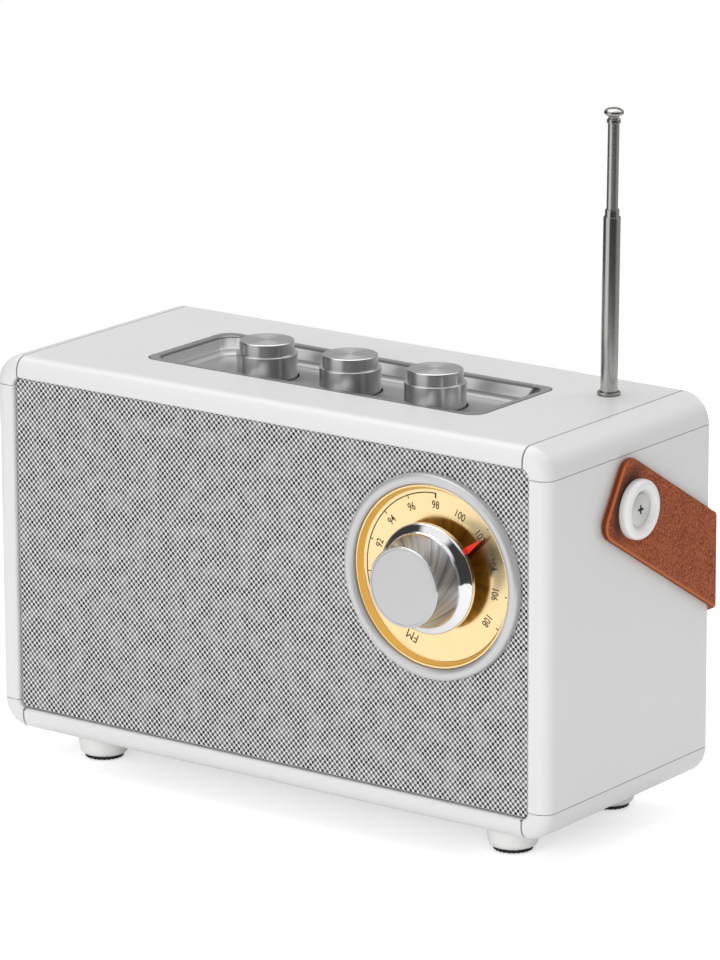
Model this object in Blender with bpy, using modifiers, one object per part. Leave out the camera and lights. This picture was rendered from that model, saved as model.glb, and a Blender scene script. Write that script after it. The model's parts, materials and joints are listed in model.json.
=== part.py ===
"""A portable radio in a painted cabinet, with a leather carrying strap.

Blender 4.5, metres, +Z up. The front faces -Y, and the feet stand on Z = 0.
"""

import math

import bmesh
import bpy
from mathutils import Vector

MM = 0.001

# Driving dimensions: cabinet
CABINET_WIDTH = 240 * MM
CABINET_DEPTH = 98.2 * MM
CABINET_HEIGHT = 138 * MM
CORNER_RADIUS = 10.7 * MM
WALL = 8.5 * MM
RAIL = 7.7 * MM
FRONT_ROUND = 5 * MM
BACK_ROUND = 1 * MM
OPENING_RADIUS = 3 * MM
SEAM = 0.35 * MM
FIT = 0.3 * MM

# Driving dimensions: rear panel and its screws
REAR_LEDGE = 4.5 * MM
REAR_PANEL_THICKNESS = 4 * MM
REAR_SINK = 0.5 * MM
REAR_SCREW_INSET = 2.1 * MM
REAR_SCREW_FROM_END = 24 * MM
REAR_SCREW_RADIUS = 0.9 * MM
REAR_SCREW_LENGTH = 12 * MM
REAR_SCREW_HEAD_RADIUS = 1.8 * MM
REAR_SCREW_HEAD_HEIGHT = 1.2 * MM

# Driving dimensions: feet
FOOT_RADIUS = 9.35 * MM
FOOT_TAPER = 1.2 * MM
FOOT_HEIGHT = 10.3 * MM
PAD_RADIUS = 7 * MM
PAD_HEIGHT = 0.9 * MM
FOOT_FROM_SIDE = 29.7 * MM
FOOT_FROM_FRONT = 22.5 * MM
FOOT_FROM_BACK = 16.7 * MM

# Driving dimensions: grille and loudspeaker
GRILLE_SINK = 1.7 * MM
CLOTH_THICKNESS = 0.9 * MM
BAFFLE_THICKNESS = 6 * MM
SPEAKER_FROM_SIDE = 78 * MM
SPEAKER_RADIUS = 39 * MM
SPEAKER_HOLE_RADIUS = 33 * MM
SPEAKER_FLANGE = 1.6 * MM
SPEAKER_DEPTH = 24 * MM
SPEAKER_SKIN = 1.2 * MM
SPEAKER_THROAT_RADIUS = 15 * MM
MAGNET_RADIUS = 20 * MM
MAGNET_DEPTH = 12 * MM
COIL_RADIUS = 9 * MM
CONE_DEPTH = 15 * MM
CONE_SKIN = 0.8 * MM

# Driving dimensions: dial
DIAL_FROM_SIDE = 48 * MM
DIAL_FROM_TOP = 50.8 * MM
BEZEL_RADIUS = 36.2 * MM
BEZEL_BORE_RADIUS = 32.2 * MM
BEZEL_RISE = 1.8 * MM
BEZEL_SLEEVE = 1.4 * MM
DISH_WALL = 0.8 * MM
DISH_DEPTH = 2.5 * MM
DISH_FLOOR = 1.2 * MM
POINTER_REACH = 26.2 * MM
POINTER_RING_RADIUS = 11 * MM
POINTER_BASE_WIDTH = 6 * MM
POINTER_TIP_WIDTH = 0.6 * MM
POINTER_THICKNESS = 1 * MM
POINTER_ANGLE = math.radians(52)

# Driving dimensions: tuning knob, shaft and potentiometer
TUNING_REACH = 16.5 * MM
TUNING_FACE_RADIUS = 13.2 * MM
TUNING_EDGE = 1.2 * MM
TUNING_WAIST_RADIUS = 15 * MM
TUNING_FLANGE_RADIUS = 19.4 * MM
TUNING_FLANGE_TOP = 3.8 * MM
TUNING_FLANGE_UNDER = 1.6 * MM
TUNING_HUB_RADIUS = 8 * MM
TUNING_CAP_THICKNESS = 0.9 * MM
TUNING_CAP_SINK = 0.1 * MM
TUNING_BORE_COVER = 4 * MM
SHAFT_RADIUS = 3 * MM
TUNING_POT_SIDE = 22 * MM
TUNING_POT_DEPTH = 13 * MM
SHAFT_SEAT = 10 * MM

# Driving dimensions: control tray and its knobs
TRAY_LENGTH = 145 * MM
TRAY_DEPTH = 48.7 * MM
TRAY_Y = 1 * MM
TRAY_CORNER = 5.5 * MM
TRAY_WALL_CORNER = 6 * MM
TRAY_LIP = 3 * MM
TRAY_LIP_THICKNESS = 1 * MM
TRAY_SLOPE = 2.5 * MM
TRAY_SINK = 6.1 * MM
TRAY_FLOOR = 1 * MM
TRAY_SKIN = 1 * MM
KNOB_SPACING = 36.7 * MM
KNOB_SHIFT = 1 * MM
KNOB_CAP_RADIUS = 9.75 * MM
KNOB_SKIRT_RADIUS = 10.9 * MM
KNOB_RISE = 7 * MM
KNOB_STEP = 2.5 * MM
KNOB_EDGE = 0.5 * MM
KNOB_HOLE_GAP = 0.6 * MM
KNOB_BORE_COVER = 3 * MM
PLATE_THICKNESS = 1.2 * MM
PLATE_OVERLAP = 3 * MM
POT_RADIUS = 8 * MM
POT_HEIGHT = 8.5 * MM
POT_SEAT = 6.5 * MM

# Driving dimensions: aerial, with lengths shown above the cabinet's top
AERIAL_FROM_SIDE = 28.3 * MM
AERIAL_FROM_BACK = 20.8 * MM
AERIAL_LEAN = math.radians(0.8)
AERIAL_FLANGE_RADIUS = 4.1 * MM
AERIAL_FLANGE_HEIGHT = 0.8 * MM
AERIAL_TUBE_RADIUS = 3.5 * MM
AERIAL_LOWER_RADIUS = 3 * MM
AERIAL_MIDDLE_RADIUS = 2.5 * MM
AERIAL_UPPER_RADIUS = 2 * MM
AERIAL_SKIN = 0.3 * MM
AERIAL_TUBE_LENGTH = 96 * MM
AERIAL_SECTION_LENGTH = 80 * MM
AERIAL_LOWER_SHOWN = 62.8 * MM
AERIAL_MIDDLE_SHOWN = 2.5 * MM
AERIAL_UPPER_SHOWN = 30.2 * MM
AERIAL_NECK = 1.3 * MM
AERIAL_TIP_RADIUS = 3.5 * MM
AERIAL_TIP_HEIGHT = 4.1 * MM
CLIP_WIDTH = 13 * MM
CLIP_HEIGHT = 8 * MM
CLIP_FROM_TUBE_END = 10 * MM

# Driving dimensions: strap and its fixings
PIVOT_Y = 0 * MM
PIVOT_BELOW_TOP = 29.8 * MM
STRAP_WIDTH = 29.8 * MM
STRAP_THICKNESS = 2.6 * MM
STRAP_SLOPE = math.radians(30.8)
STRAP_END = 15.2 * MM
STRAP_END_RADIUS = 6 * MM
STRAP_BEND = 1.2 * MM
STRAP_SEGMENT = 11 * MM
WASHER_RADIUS = 10.5 * MM
WASHER_HEIGHT = 2.7 * MM
WASHER_CUP_RADIUS = 6.6 * MM
WASHER_CUP_DEPTH = 2.3 * MM
STRAP_SCREW_RADIUS = 2.5 * MM
STRAP_SCREW_HEAD_RADIUS = 6 * MM
STRAP_SCREW_HEAD_HEIGHT = 0.7 * MM
STRAP_SCREW_BITE = 7.5 * MM
CROSS_LENGTH = 3.2 * MM
CROSS_WIDTH = 0.9 * MM
CROSS_DEPTH = 0.4 * MM

# Driving dimensions: main board, power socket and battery pack
BOARD_LENGTH = 110 * MM
BOARD_HEIGHT = 56 * MM
BOARD_THICKNESS = 1.6 * MM
BOARD_ABOVE_FLOOR = 14 * MM
BOSS_RADIUS = 3 * MM
BOSS_LENGTH = 7 * MM
BOSS_INSET = 6 * MM
SOCKET_WIDTH = 9 * MM
SOCKET_HEIGHT = 3.6 * MM
SOCKET_MOUTH_DEPTH = 5 * MM
SOCKET_WALL = 0.7 * MM
SOCKET_X = 30 * MM
BATTERY_LENGTH = 70 * MM
BATTERY_DEPTH = 38 * MM
BATTERY_HEIGHT = 19 * MM
BATTERY_ROUND = 8 * MM
BATTERY_X = -20 * MM
BATTERY_Y = 5 * MM

# Mesh fineness
ROUND_STEPS = 36
SMALL_STEPS = 20
ARC_SEGMENTS = 5

# Places worked out from the driving dimensions
BOTTOM = PAD_HEIGHT + FIT + FOOT_HEIGHT + FIT
TOP = BOTTOM + CABINET_HEIGHT
FLOOR = BOTTOM + RAIL
CEILING = TOP - RAIL
MIDDLE = (BOTTOM + TOP) / 2
FRONT = -CABINET_DEPTH / 2
BACK = CABINET_DEPTH / 2
SIDE = CABINET_WIDTH / 2
OPENING_WIDTH = CABINET_WIDTH - 2 * WALL
OPENING_HEIGHT = CABINET_HEIGHT - 2 * RAIL
CLOTH_BACK = FRONT + GRILLE_SINK + CLOTH_THICKNESS
BAFFLE_FRONT = CLOTH_BACK + FIT
BAFFLE_BACK = BAFFLE_FRONT + BAFFLE_THICKNESS
REAR_PANEL_BACK = BACK - REAR_SINK
REAR_PANEL_FRONT = REAR_PANEL_BACK - REAR_PANEL_THICKNESS
FOOT_X = SIDE - FOOT_FROM_SIDE
FRONT_FOOT_Y = FRONT + FOOT_FROM_FRONT
REAR_FOOT_Y = BACK - FOOT_FROM_BACK
SPEAKER_X = SPEAKER_FROM_SIDE - SIDE
DIAL_X = SIDE - DIAL_FROM_SIDE
DIAL_Z = TOP - DIAL_FROM_TOP
AERIAL_X = SIDE - AERIAL_FROM_SIDE
AERIAL_Y = BACK - AERIAL_FROM_BACK
SLEEVE_RADIUS = BEZEL_BORE_RADIUS + BEZEL_SLEEVE
DIAL_HOLE_RADIUS = SLEEVE_RADIUS + FIT
STRAP_FACE = SIDE + FIT + STRAP_THICKNESS
STRAP_BACK = BACK + FIT + STRAP_THICKNESS
PIVOT_Z = TOP - PIVOT_BELOW_TOP
SHAFT_HOLE_RADIUS = SHAFT_RADIUS + FIT
CASE_SHIFT = (TUNING_REACH - (STRAP_BACK - BACK)) / 2

# Finishes: colour, roughness, metallic
WHITE_PAINT = ((0.80, 0.80, 0.79), 0.35, 0.0)
CLOTH = ((0.55, 0.55, 0.55), 0.9, 0.0)
FIBREBOARD = ((0.35, 0.24, 0.15), 0.8, 0.0)
SATIN_METAL = ((0.62, 0.62, 0.63), 0.3, 1.0)
CHROME = ((0.80, 0.80, 0.81), 0.08, 1.0)
GOLD = ((0.90, 0.62, 0.22), 0.18, 1.0)
RED = ((0.80, 0.04, 0.02), 0.4, 0.0)
STEEL = ((0.45, 0.45, 0.46), 0.3, 1.0)
LEATHER = ((0.26, 0.08, 0.035), 0.6, 0.0)
WHITE_PLASTIC = ((0.78, 0.78, 0.77), 0.4, 0.0)
DARK_RUBBER = ((0.03, 0.04, 0.035), 0.85, 0.0)
BLACK_PLASTIC = ((0.03, 0.03, 0.03), 0.5, 0.0)
CIRCUIT_GREEN = ((0.03, 0.16, 0.06), 0.5, 0.0)
BATTERY_BLUE = ((0.05, 0.12, 0.35), 0.4, 0.0)
PAPER = ((0.10, 0.09, 0.08), 0.9, 0.0)


def clear_scene():
    for obj in list(bpy.data.objects):
        bpy.data.objects.remove(obj, do_unlink=True)


def new_empty(name, location, parent=None):
    empty = bpy.data.objects.new(name, None)
    bpy.context.scene.collection.objects.link(empty)
    empty.empty_display_size = 10 * MM
    empty.location = location
    empty.parent = parent
    return empty


def finish(obj, look):
    colour, roughness, metallic = look
    material = bpy.data.materials.new(obj.name)
    material.use_nodes = True
    shader = material.node_tree.nodes["Principled BSDF"]
    shader.inputs["Base Color"].default_value = (*colour, 1)
    shader.inputs["Roughness"].default_value = roughness
    shader.inputs["Metallic"].default_value = metallic
    obj.data.materials.append(material)


def place(name, data, location, look):
    """A new object under the radio. With no look it is a cutter, kept out of renders."""
    obj = bpy.data.objects.new(name, data)
    obj.parent = radio
    obj.location = location
    if look is None:
        cutters.objects.link(obj)
        obj.hide_render = True
        obj.display_type = "WIRE"
    else:
        bpy.context.scene.collection.objects.link(obj)
        finish(obj, look)
    return obj


def mesh_from(name, bm):
    bmesh.ops.recalc_face_normals(bm, faces=bm.faces)
    mesh = bpy.data.meshes.new(name)
    bm.to_mesh(mesh)
    bm.free()
    return mesh


def bevel_edges(bm, edges, radius, segments):
    bmesh.ops.bevel(
        bm, geom=edges, offset=radius, offset_type="OFFSET", segments=segments, profile=0.5, affect="EDGES"
    )


def block_mesh(name, size, radius=0, along=2, segments=ARC_SEGMENTS, lower_shrink=0):
    """A box about its centre. The four edges along one axis are rounded, and its lower end can be smaller."""
    bm = bmesh.new()
    bmesh.ops.create_cube(bm, size=1)
    bmesh.ops.scale(bm, vec=size, verts=bm.verts)
    if radius:
        edges = [e for e in bm.edges if abs((e.verts[0].co - e.verts[1].co).normalized()[along]) > 0.99]
        bevel_edges(bm, edges, radius, segments)
    if lower_shrink:
        lower = [v for v in bm.verts if v.co.z < 0]
        taper = (1 - 2 * lower_shrink / size[0], 1 - 2 * lower_shrink / size[1], 1)
        bmesh.ops.scale(bm, vec=taper, verts=lower)
    return mesh_from(name, bm)


def block(name, low, high, look, radius=0, along=2, lower_shrink=0):
    """A box between two opposite corners."""
    low = Vector(low)
    high = Vector(high)
    mesh = block_mesh(name, high - low, radius, along, lower_shrink=lower_shrink)
    return place(name, mesh, (low + high) / 2, look)


def turned(name, profile, location, look, steps=ROUND_STEPS, ring=False, rotation=(0, 0, 0)):
    """A profile of (radius, height) turned about the object's Z. It runs down the outer side."""
    bm = bmesh.new()
    points = [bm.verts.new((radius, 0, height)) for radius, height in profile]
    for first, second in zip(points, points[1:]):
        bm.edges.new((first, second))
    if ring:
        bm.edges.new((points[-1], points[0]))
    mesh = bpy.data.meshes.new(name)
    bm.to_mesh(mesh)
    bm.free()
    obj = place(name, mesh, location, look)
    obj.rotation_euler = rotation
    screw = obj.modifiers.new("Turn", "SCREW")
    screw.axis = "Z"
    screw.steps = steps
    screw.render_steps = steps
    screw.use_merge_vertices = True
    screw.merge_threshold = 0.01 * MM
    return obj


def rod(name, radius, low, high, location, look, steps=SMALL_STEPS, rotation=(0, 0, 0)):
    """A solid cylinder between two heights on its own Z."""
    profile = [(0, high), (radius, high), (radius, low), (0, low)]
    return turned(name, profile, location, look, steps, rotation=rotation)


def tube(name, radius, bore, low, high, location, look, steps=SMALL_STEPS):
    profile = [(bore, high), (radius, high), (radius, low), (bore, low)]
    return turned(name, profile, location, look, steps, ring=True)


def boolean(obj, other, operation="DIFFERENCE"):
    modifier = obj.modifiers.new(operation.title(), "BOOLEAN")
    modifier.operation = operation
    modifier.solver = "EXACT"
    modifier.object = other


FACING_FRONT = (math.radians(90), 0, 0)
FACING_BACK = (math.radians(-90), 0, 0)


def cabinet_form():
    """The whole cabinet's outer shape, from which boards and mouldings are cut."""
    bm = bmesh.new()
    bmesh.ops.create_cube(bm, size=1)
    bmesh.ops.scale(bm, vec=(CABINET_WIDTH, CABINET_DEPTH, CABINET_HEIGHT), verts=bm.verts)
    along_depth = [e for e in bm.edges if abs(e.verts[0].co.y - e.verts[1].co.y) > CABINET_DEPTH / 2]
    bevel_edges(bm, along_depth, CORNER_RADIUS, ARC_SEGMENTS)
    for sign, radius in ((-1, FRONT_ROUND), (1, BACK_ROUND)):
        end = sign * CABINET_DEPTH / 2
        rim = [e for e in bm.edges if all(abs(v.co.y - end) < 0.01 * MM for v in e.verts)]
        bevel_edges(bm, rim, radius, 4)
    return place("cabinet_form", mesh_from("cabinet_form", bm), (0, 0, MIDDLE), None)


def opening_form(name, margin, radius, front, back):
    """A rounded prism as large as the cabinet's opening and a margin round it."""
    half_width = OPENING_WIDTH / 2 + margin
    half_height = OPENING_HEIGHT / 2 + margin
    low = (-half_width, front, MIDDLE - half_height)
    high = (half_width, back, MIDDLE + half_height)
    return block(name, low, high, None, radius, along=1)


def make_cabinet():
    """Four boards and four corner mouldings, with a seam between neighbours."""
    form = cabinet_form()
    past = 5 * MM
    opening = opening_form("opening_form", 0, OPENING_RADIUS, FRONT - past, BACK + past)
    rebate_front = REAR_PANEL_FRONT - FIT
    rebate = opening_form("rear_rebate", REAR_LEDGE, OPENING_RADIUS + REAR_LEDGE, rebate_front, BACK + past)
    seam_x = SIDE - CORNER_RADIUS
    seam_high = TOP - CORNER_RADIUS
    seam_low = BOTTOM + CORNER_RADIUS
    gap = SEAM / 2
    spans = {
        "top_board": ((gap - seam_x, CEILING), (seam_x - gap, TOP + past)),
        "bottom_board": ((gap - seam_x, BOTTOM - past), (seam_x - gap, FLOOR)),
        "left_board": ((-SIDE - past, seam_low + gap), (WALL - SIDE, seam_high - gap)),
        "right_board": ((SIDE - WALL, seam_low + gap), (SIDE + past, seam_high - gap)),
        "corner_top_left": ((-SIDE - past, seam_high + gap), (-seam_x - gap, TOP + past)),
        "corner_top_right": ((seam_x + gap, seam_high + gap), (SIDE + past, TOP + past)),
        "corner_bottom_left": ((-SIDE - past, BOTTOM - past), (-seam_x - gap, seam_low - gap)),
        "corner_bottom_right": ((seam_x + gap, BOTTOM - past), (SIDE + past, seam_low - gap)),
    }
    pieces = {}
    for name, ((x_low, z_low), (x_high, z_high)) in spans.items():
        low = (x_low, FRONT - past, z_low)
        high = (x_high, BACK + past, z_high)
        piece = block(name, low, high, WHITE_PAINT)
        boolean(piece, form, "INTERSECT")
        if name.startswith("corner"):
            boolean(piece, opening)
        boolean(piece, rebate)
        pieces[name] = piece
    return pieces


def make_feet():
    for side, x in (("left", -FOOT_X), ("right", FOOT_X)):
        for end, y in (("front", FRONT_FOOT_Y), ("rear", REAR_FOOT_Y)):
            foot_low = PAD_HEIGHT + FIT
            foot_high = foot_low + FOOT_HEIGHT
            low_radius = FOOT_RADIUS - FOOT_TAPER
            profile = [(0, foot_high), (FOOT_RADIUS, foot_high), (low_radius, foot_low), (0, foot_low)]
            turned(f"foot_{end}_{side}", profile, (x, y, 0), WHITE_PLASTIC, SMALL_STEPS)
            rod(f"foot_pad_{end}_{side}", PAD_RADIUS, 0, PAD_HEIGHT, (x, y, 0), DARK_RUBBER)


def make_front():
    """The baffle and the cloth over it, with holes for the dial and the loudspeaker."""
    past = 5 * MM
    cloth = opening_form("grille_cloth_form", -FIT, OPENING_RADIUS - FIT, FRONT + GRILLE_SINK, CLOTH_BACK)
    baffle = opening_form("front_baffle_form", -FIT, OPENING_RADIUS - FIT, BAFFLE_FRONT, BAFFLE_BACK)
    dial_hole = rod(
        "dial_hole", DIAL_HOLE_RADIUS, -BAFFLE_BACK - past, past - FRONT, (DIAL_X, 0, DIAL_Z), None,
        ROUND_STEPS, FACING_FRONT,
    )
    speaker_hole = rod(
        "speaker_hole", SPEAKER_HOLE_RADIUS, -BAFFLE_BACK - past, past - BAFFLE_FRONT,
        (SPEAKER_X, 0, MIDDLE), None, ROUND_STEPS, FACING_FRONT,
    )
    for form, name, look in ((cloth, "grille_cloth", CLOTH), (baffle, "front_baffle", FIBREBOARD)):
        piece = place(name, form.data.copy(), form.location, look)
        bpy.data.objects.remove(form, do_unlink=True)
        boolean(piece, dial_hole)
        if name == "front_baffle":
            boolean(piece, speaker_hole)


def make_speaker():
    """Heights run out of the front from the baffle's back."""
    centre = (SPEAKER_X, BAFFLE_BACK + FIT, MIDDLE)
    seat = SPEAKER_HOLE_RADIUS - 1 * MM
    frame_profile = [
        (seat, 0),
        (SPEAKER_RADIUS, 0),
        (SPEAKER_RADIUS, -SPEAKER_FLANGE),
        (seat + SPEAKER_SKIN, -SPEAKER_FLANGE),
        (SPEAKER_THROAT_RADIUS + SPEAKER_SKIN, -SPEAKER_DEPTH),
        (COIL_RADIUS + FIT, -SPEAKER_DEPTH),
        (COIL_RADIUS + FIT, SPEAKER_SKIN - SPEAKER_DEPTH),
        (SPEAKER_THROAT_RADIUS, SPEAKER_SKIN - SPEAKER_DEPTH),
        (seat, -SPEAKER_FLANGE),
    ]
    turned("speaker_frame", frame_profile, centre, STEEL, ring=True, rotation=FACING_FRONT)
    rim = seat - FIT
    cone_profile = [
        (0, -CONE_DEPTH + COIL_RADIUS / 2),
        (COIL_RADIUS * 0.6, -CONE_DEPTH + COIL_RADIUS / 3),
        (COIL_RADIUS, -CONE_DEPTH),
        (rim - 4 * MM, 0),
        (rim, 0),
        (rim, -CONE_SKIN),
        (rim - 4 * MM + CONE_SKIN, -CONE_SKIN),
        (COIL_RADIUS, -CONE_DEPTH - CONE_SKIN),
        (COIL_RADIUS, SPEAKER_SKIN - SPEAKER_DEPTH),
        (0, SPEAKER_SKIN - SPEAKER_DEPTH),
    ]
    turned("speaker_cone", cone_profile, centre, PAPER, rotation=FACING_FRONT)
    magnet_high = -SPEAKER_DEPTH - FIT
    rod(
        "speaker_magnet", MAGNET_RADIUS, magnet_high - MAGNET_DEPTH, magnet_high, centre, BLACK_PLASTIC,
        ROUND_STEPS, FACING_FRONT,
    )


def make_dial():
    """Bezel and dish. Heights run out of the front from the cabinet's front plane."""
    centre = (DIAL_X, FRONT, DIAL_Z)
    cloth_height = -GRILLE_SINK
    sleeve_end = -(BAFFLE_BACK - FRONT)
    edge = BEZEL_RISE / 2
    bezel_profile = [
        (BEZEL_BORE_RADIUS, 0),
        (BEZEL_RADIUS - 2 * edge, BEZEL_RISE),
        (BEZEL_RADIUS - edge, BEZEL_RISE - 0.1 * edge),
        (BEZEL_RADIUS, BEZEL_RISE - edge),
        (BEZEL_RADIUS, cloth_height + FIT),
        (SLEEVE_RADIUS, cloth_height + FIT),
        (SLEEVE_RADIUS, sleeve_end),
        (BEZEL_BORE_RADIUS, sleeve_end),
    ]
    turned("dial_bezel", bezel_profile, centre, SATIN_METAL, ring=True, rotation=FACING_FRONT)
    dish_radius = BEZEL_BORE_RADIUS - FIT
    dish_inner = dish_radius - DISH_WALL
    dish_profile = [
        (dish_inner, 0),
        (dish_radius, 0),
        (dish_radius, -DISH_DEPTH - DISH_FLOOR),
        (SHAFT_HOLE_RADIUS, -DISH_DEPTH - DISH_FLOOR),
        (SHAFT_HOLE_RADIUS, -DISH_DEPTH),
        (dish_inner, -DISH_DEPTH),
    ]
    turned("dial_dish", dish_profile, centre, GOLD, ring=True, rotation=FACING_FRONT)


def make_tuning():
    """Knob, face cap, pointer, shaft and potentiometer. The moving ones have their origin on the shaft."""
    centre = (DIAL_X, FRONT, DIAL_Z)
    cap_floor = TUNING_REACH - TUNING_CAP_SINK - TUNING_CAP_THICKNESS - FIT
    bore_top = cap_floor - TUNING_BORE_COVER
    hub_end = -DISH_DEPTH + 2 * FIT
    shoulder = TUNING_FACE_RADIUS + TUNING_EDGE
    flare = TUNING_FLANGE_RADIUS - TUNING_WAIST_RADIUS
    knob_profile = [
        (0, cap_floor),
        (TUNING_FACE_RADIUS, cap_floor),
        (TUNING_FACE_RADIUS, TUNING_REACH),
        (TUNING_FACE_RADIUS + TUNING_EDGE / 2, TUNING_REACH - TUNING_EDGE / 6),
        (shoulder, TUNING_REACH - TUNING_EDGE),
        (TUNING_WAIST_RADIUS, TUNING_FLANGE_TOP + flare),
        (TUNING_WAIST_RADIUS + flare / 3, TUNING_FLANGE_TOP + flare / 3),
        (TUNING_FLANGE_RADIUS - flare / 5, TUNING_FLANGE_TOP),
        (TUNING_FLANGE_RADIUS, TUNING_FLANGE_TOP - flare / 6),
        (TUNING_FLANGE_RADIUS, TUNING_FLANGE_UNDER),
        (TUNING_HUB_RADIUS, TUNING_FLANGE_UNDER),
        (TUNING_HUB_RADIUS, hub_end),
        (SHAFT_HOLE_RADIUS, hub_end),
        (SHAFT_HOLE_RADIUS, bore_top),
        (0, bore_top),
    ]
    turned("tuning_knob", knob_profile, centre, CHROME, rotation=FACING_FRONT)
    cap_high = TUNING_REACH - TUNING_CAP_SINK
    rod(
        "tuning_knob_cap", TUNING_FACE_RADIUS - FIT, cap_high - TUNING_CAP_THICKNESS, cap_high, centre,
        SATIN_METAL, ROUND_STEPS, FACING_FRONT,
    )
    make_pointer(centre)
    pot_high = -DISH_DEPTH - DISH_FLOOR - FIT
    seat = pot_high - SHAFT_SEAT
    rod("tuning_shaft", SHAFT_RADIUS, seat, bore_top - FIT, centre, STEEL, rotation=FACING_FRONT)
    half = TUNING_POT_SIDE / 2
    pot_front = FRONT - pot_high
    pot = block(
        "tuning_potentiometer",
        (DIAL_X - half, pot_front, DIAL_Z - half),
        (DIAL_X + half, pot_front + TUNING_POT_DEPTH, DIAL_Z + half),
        BLACK_PLASTIC,
    )
    bore = rod(
        "tuning_pot_bore", SHAFT_HOLE_RADIUS, seat - FIT, pot_high + FIT, centre, None,
        rotation=FACING_FRONT,
    )
    boolean(pot, bore)


def make_pointer(centre):
    """A ring round the knob's hub with a needle. In its own XY, the needle points along +Y."""
    bore = TUNING_HUB_RADIUS + FIT
    outer = POINTER_RING_RADIUS
    half_base = math.asin(POINTER_BASE_WIDTH / 2 / outer)
    start = math.pi / 2 + half_base
    turn = 2 * math.pi - 2 * half_base
    outline = [
        (outer * math.cos(start + turn * k / SMALL_STEPS), outer * math.sin(start + turn * k / SMALL_STEPS))
        for k in range(SMALL_STEPS + 1)
    ]
    outline.append((POINTER_TIP_WIDTH / 2, POINTER_REACH))
    outline.append((-POINTER_TIP_WIDTH / 2, POINTER_REACH))
    hole = [
        (bore * math.cos(2 * math.pi * k / SMALL_STEPS), bore * math.sin(2 * math.pi * k / SMALL_STEPS))
        for k in range(SMALL_STEPS)
    ]
    curve = bpy.data.curves.new("dial_pointer", "CURVE")
    curve.dimensions = "2D"
    curve.fill_mode = "BOTH"
    curve.extrude = POINTER_THICKNESS / 2
    for points in (outline, hole):
        spline = curve.splines.new("POLY")
        spline.points.add(len(points) - 1)
        spline.use_cyclic_u = True
        for point, (x, y) in zip(spline.points, points):
            point.co = (x, y, 0, 1)
    height = TUNING_FLANGE_UNDER - FIT - POINTER_THICKNESS / 2
    pointer = place("dial_pointer", curve, Vector(centre) + Vector((0, -height, 0)), RED)
    pointer.rotation_euler = (math.radians(90), POINTER_ANGLE, 0)


def make_tray(top_board):
    """The pressed tray in the top board, with holes that the knobs stand in."""
    past = 2 * MM
    half_length = TRAY_LENGTH / 2
    half_depth = TRAY_DEPTH / 2
    near, far = TRAY_Y - half_depth, TRAY_Y + half_depth
    inset = TRAY_LIP - TRAY_SKIN
    tub_low = TOP - TRAY_SINK - TRAY_FLOOR
    tub_radius = TRAY_WALL_CORNER + TRAY_SKIN
    tray = block(
        "control_tray", (-half_length, near, TOP - TRAY_LIP_THICKNESS), (half_length, far, TOP),
        SATIN_METAL, TRAY_CORNER,
    )
    tub = block(
        "tray_tub", (inset - half_length, near + inset, tub_low),
        (half_length - inset, far - inset, TOP - TRAY_LIP_THICKNESS / 2), None, tub_radius,
    )
    hollow_low = (TRAY_LIP - half_length, near + TRAY_LIP, TOP - TRAY_SINK)
    hollow_high = (half_length - TRAY_LIP, far - TRAY_LIP, TOP + past)
    shrink = TRAY_SLOPE * (TRAY_SINK + past) / TRAY_SINK
    hollow = block("tray_hollow", hollow_low, hollow_high, None, TRAY_WALL_CORNER, lower_shrink=shrink)
    boolean(tray, tub, "UNION")
    boolean(tray, hollow)
    for name, x in knob_places():
        hole_radius = KNOB_SKIRT_RADIUS + KNOB_HOLE_GAP
        hole = rod(f"{name}_hole", hole_radius, tub_low - past, TOP, (x, TRAY_Y, 0), None, ROUND_STEPS)
        boolean(tray, hole)
    rebate = block(
        "tray_rebate", (-half_length - FIT, near - FIT, TOP - TRAY_LIP_THICKNESS - FIT),
        (half_length + FIT, far + FIT, TOP + past), None, TRAY_CORNER + FIT,
    )
    through = block(
        "tray_through", (inset - FIT - half_length, near + inset - FIT, CEILING - past),
        (half_length - inset + FIT, far - inset + FIT, TOP), None, tub_radius + FIT,
    )
    boolean(top_board, rebate)
    boolean(top_board, through)


def knob_places():
    return (
        ("bass", KNOB_SHIFT - KNOB_SPACING),
        ("volume", KNOB_SHIFT),
        ("treble", KNOB_SHIFT + KNOB_SPACING),
    )


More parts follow.
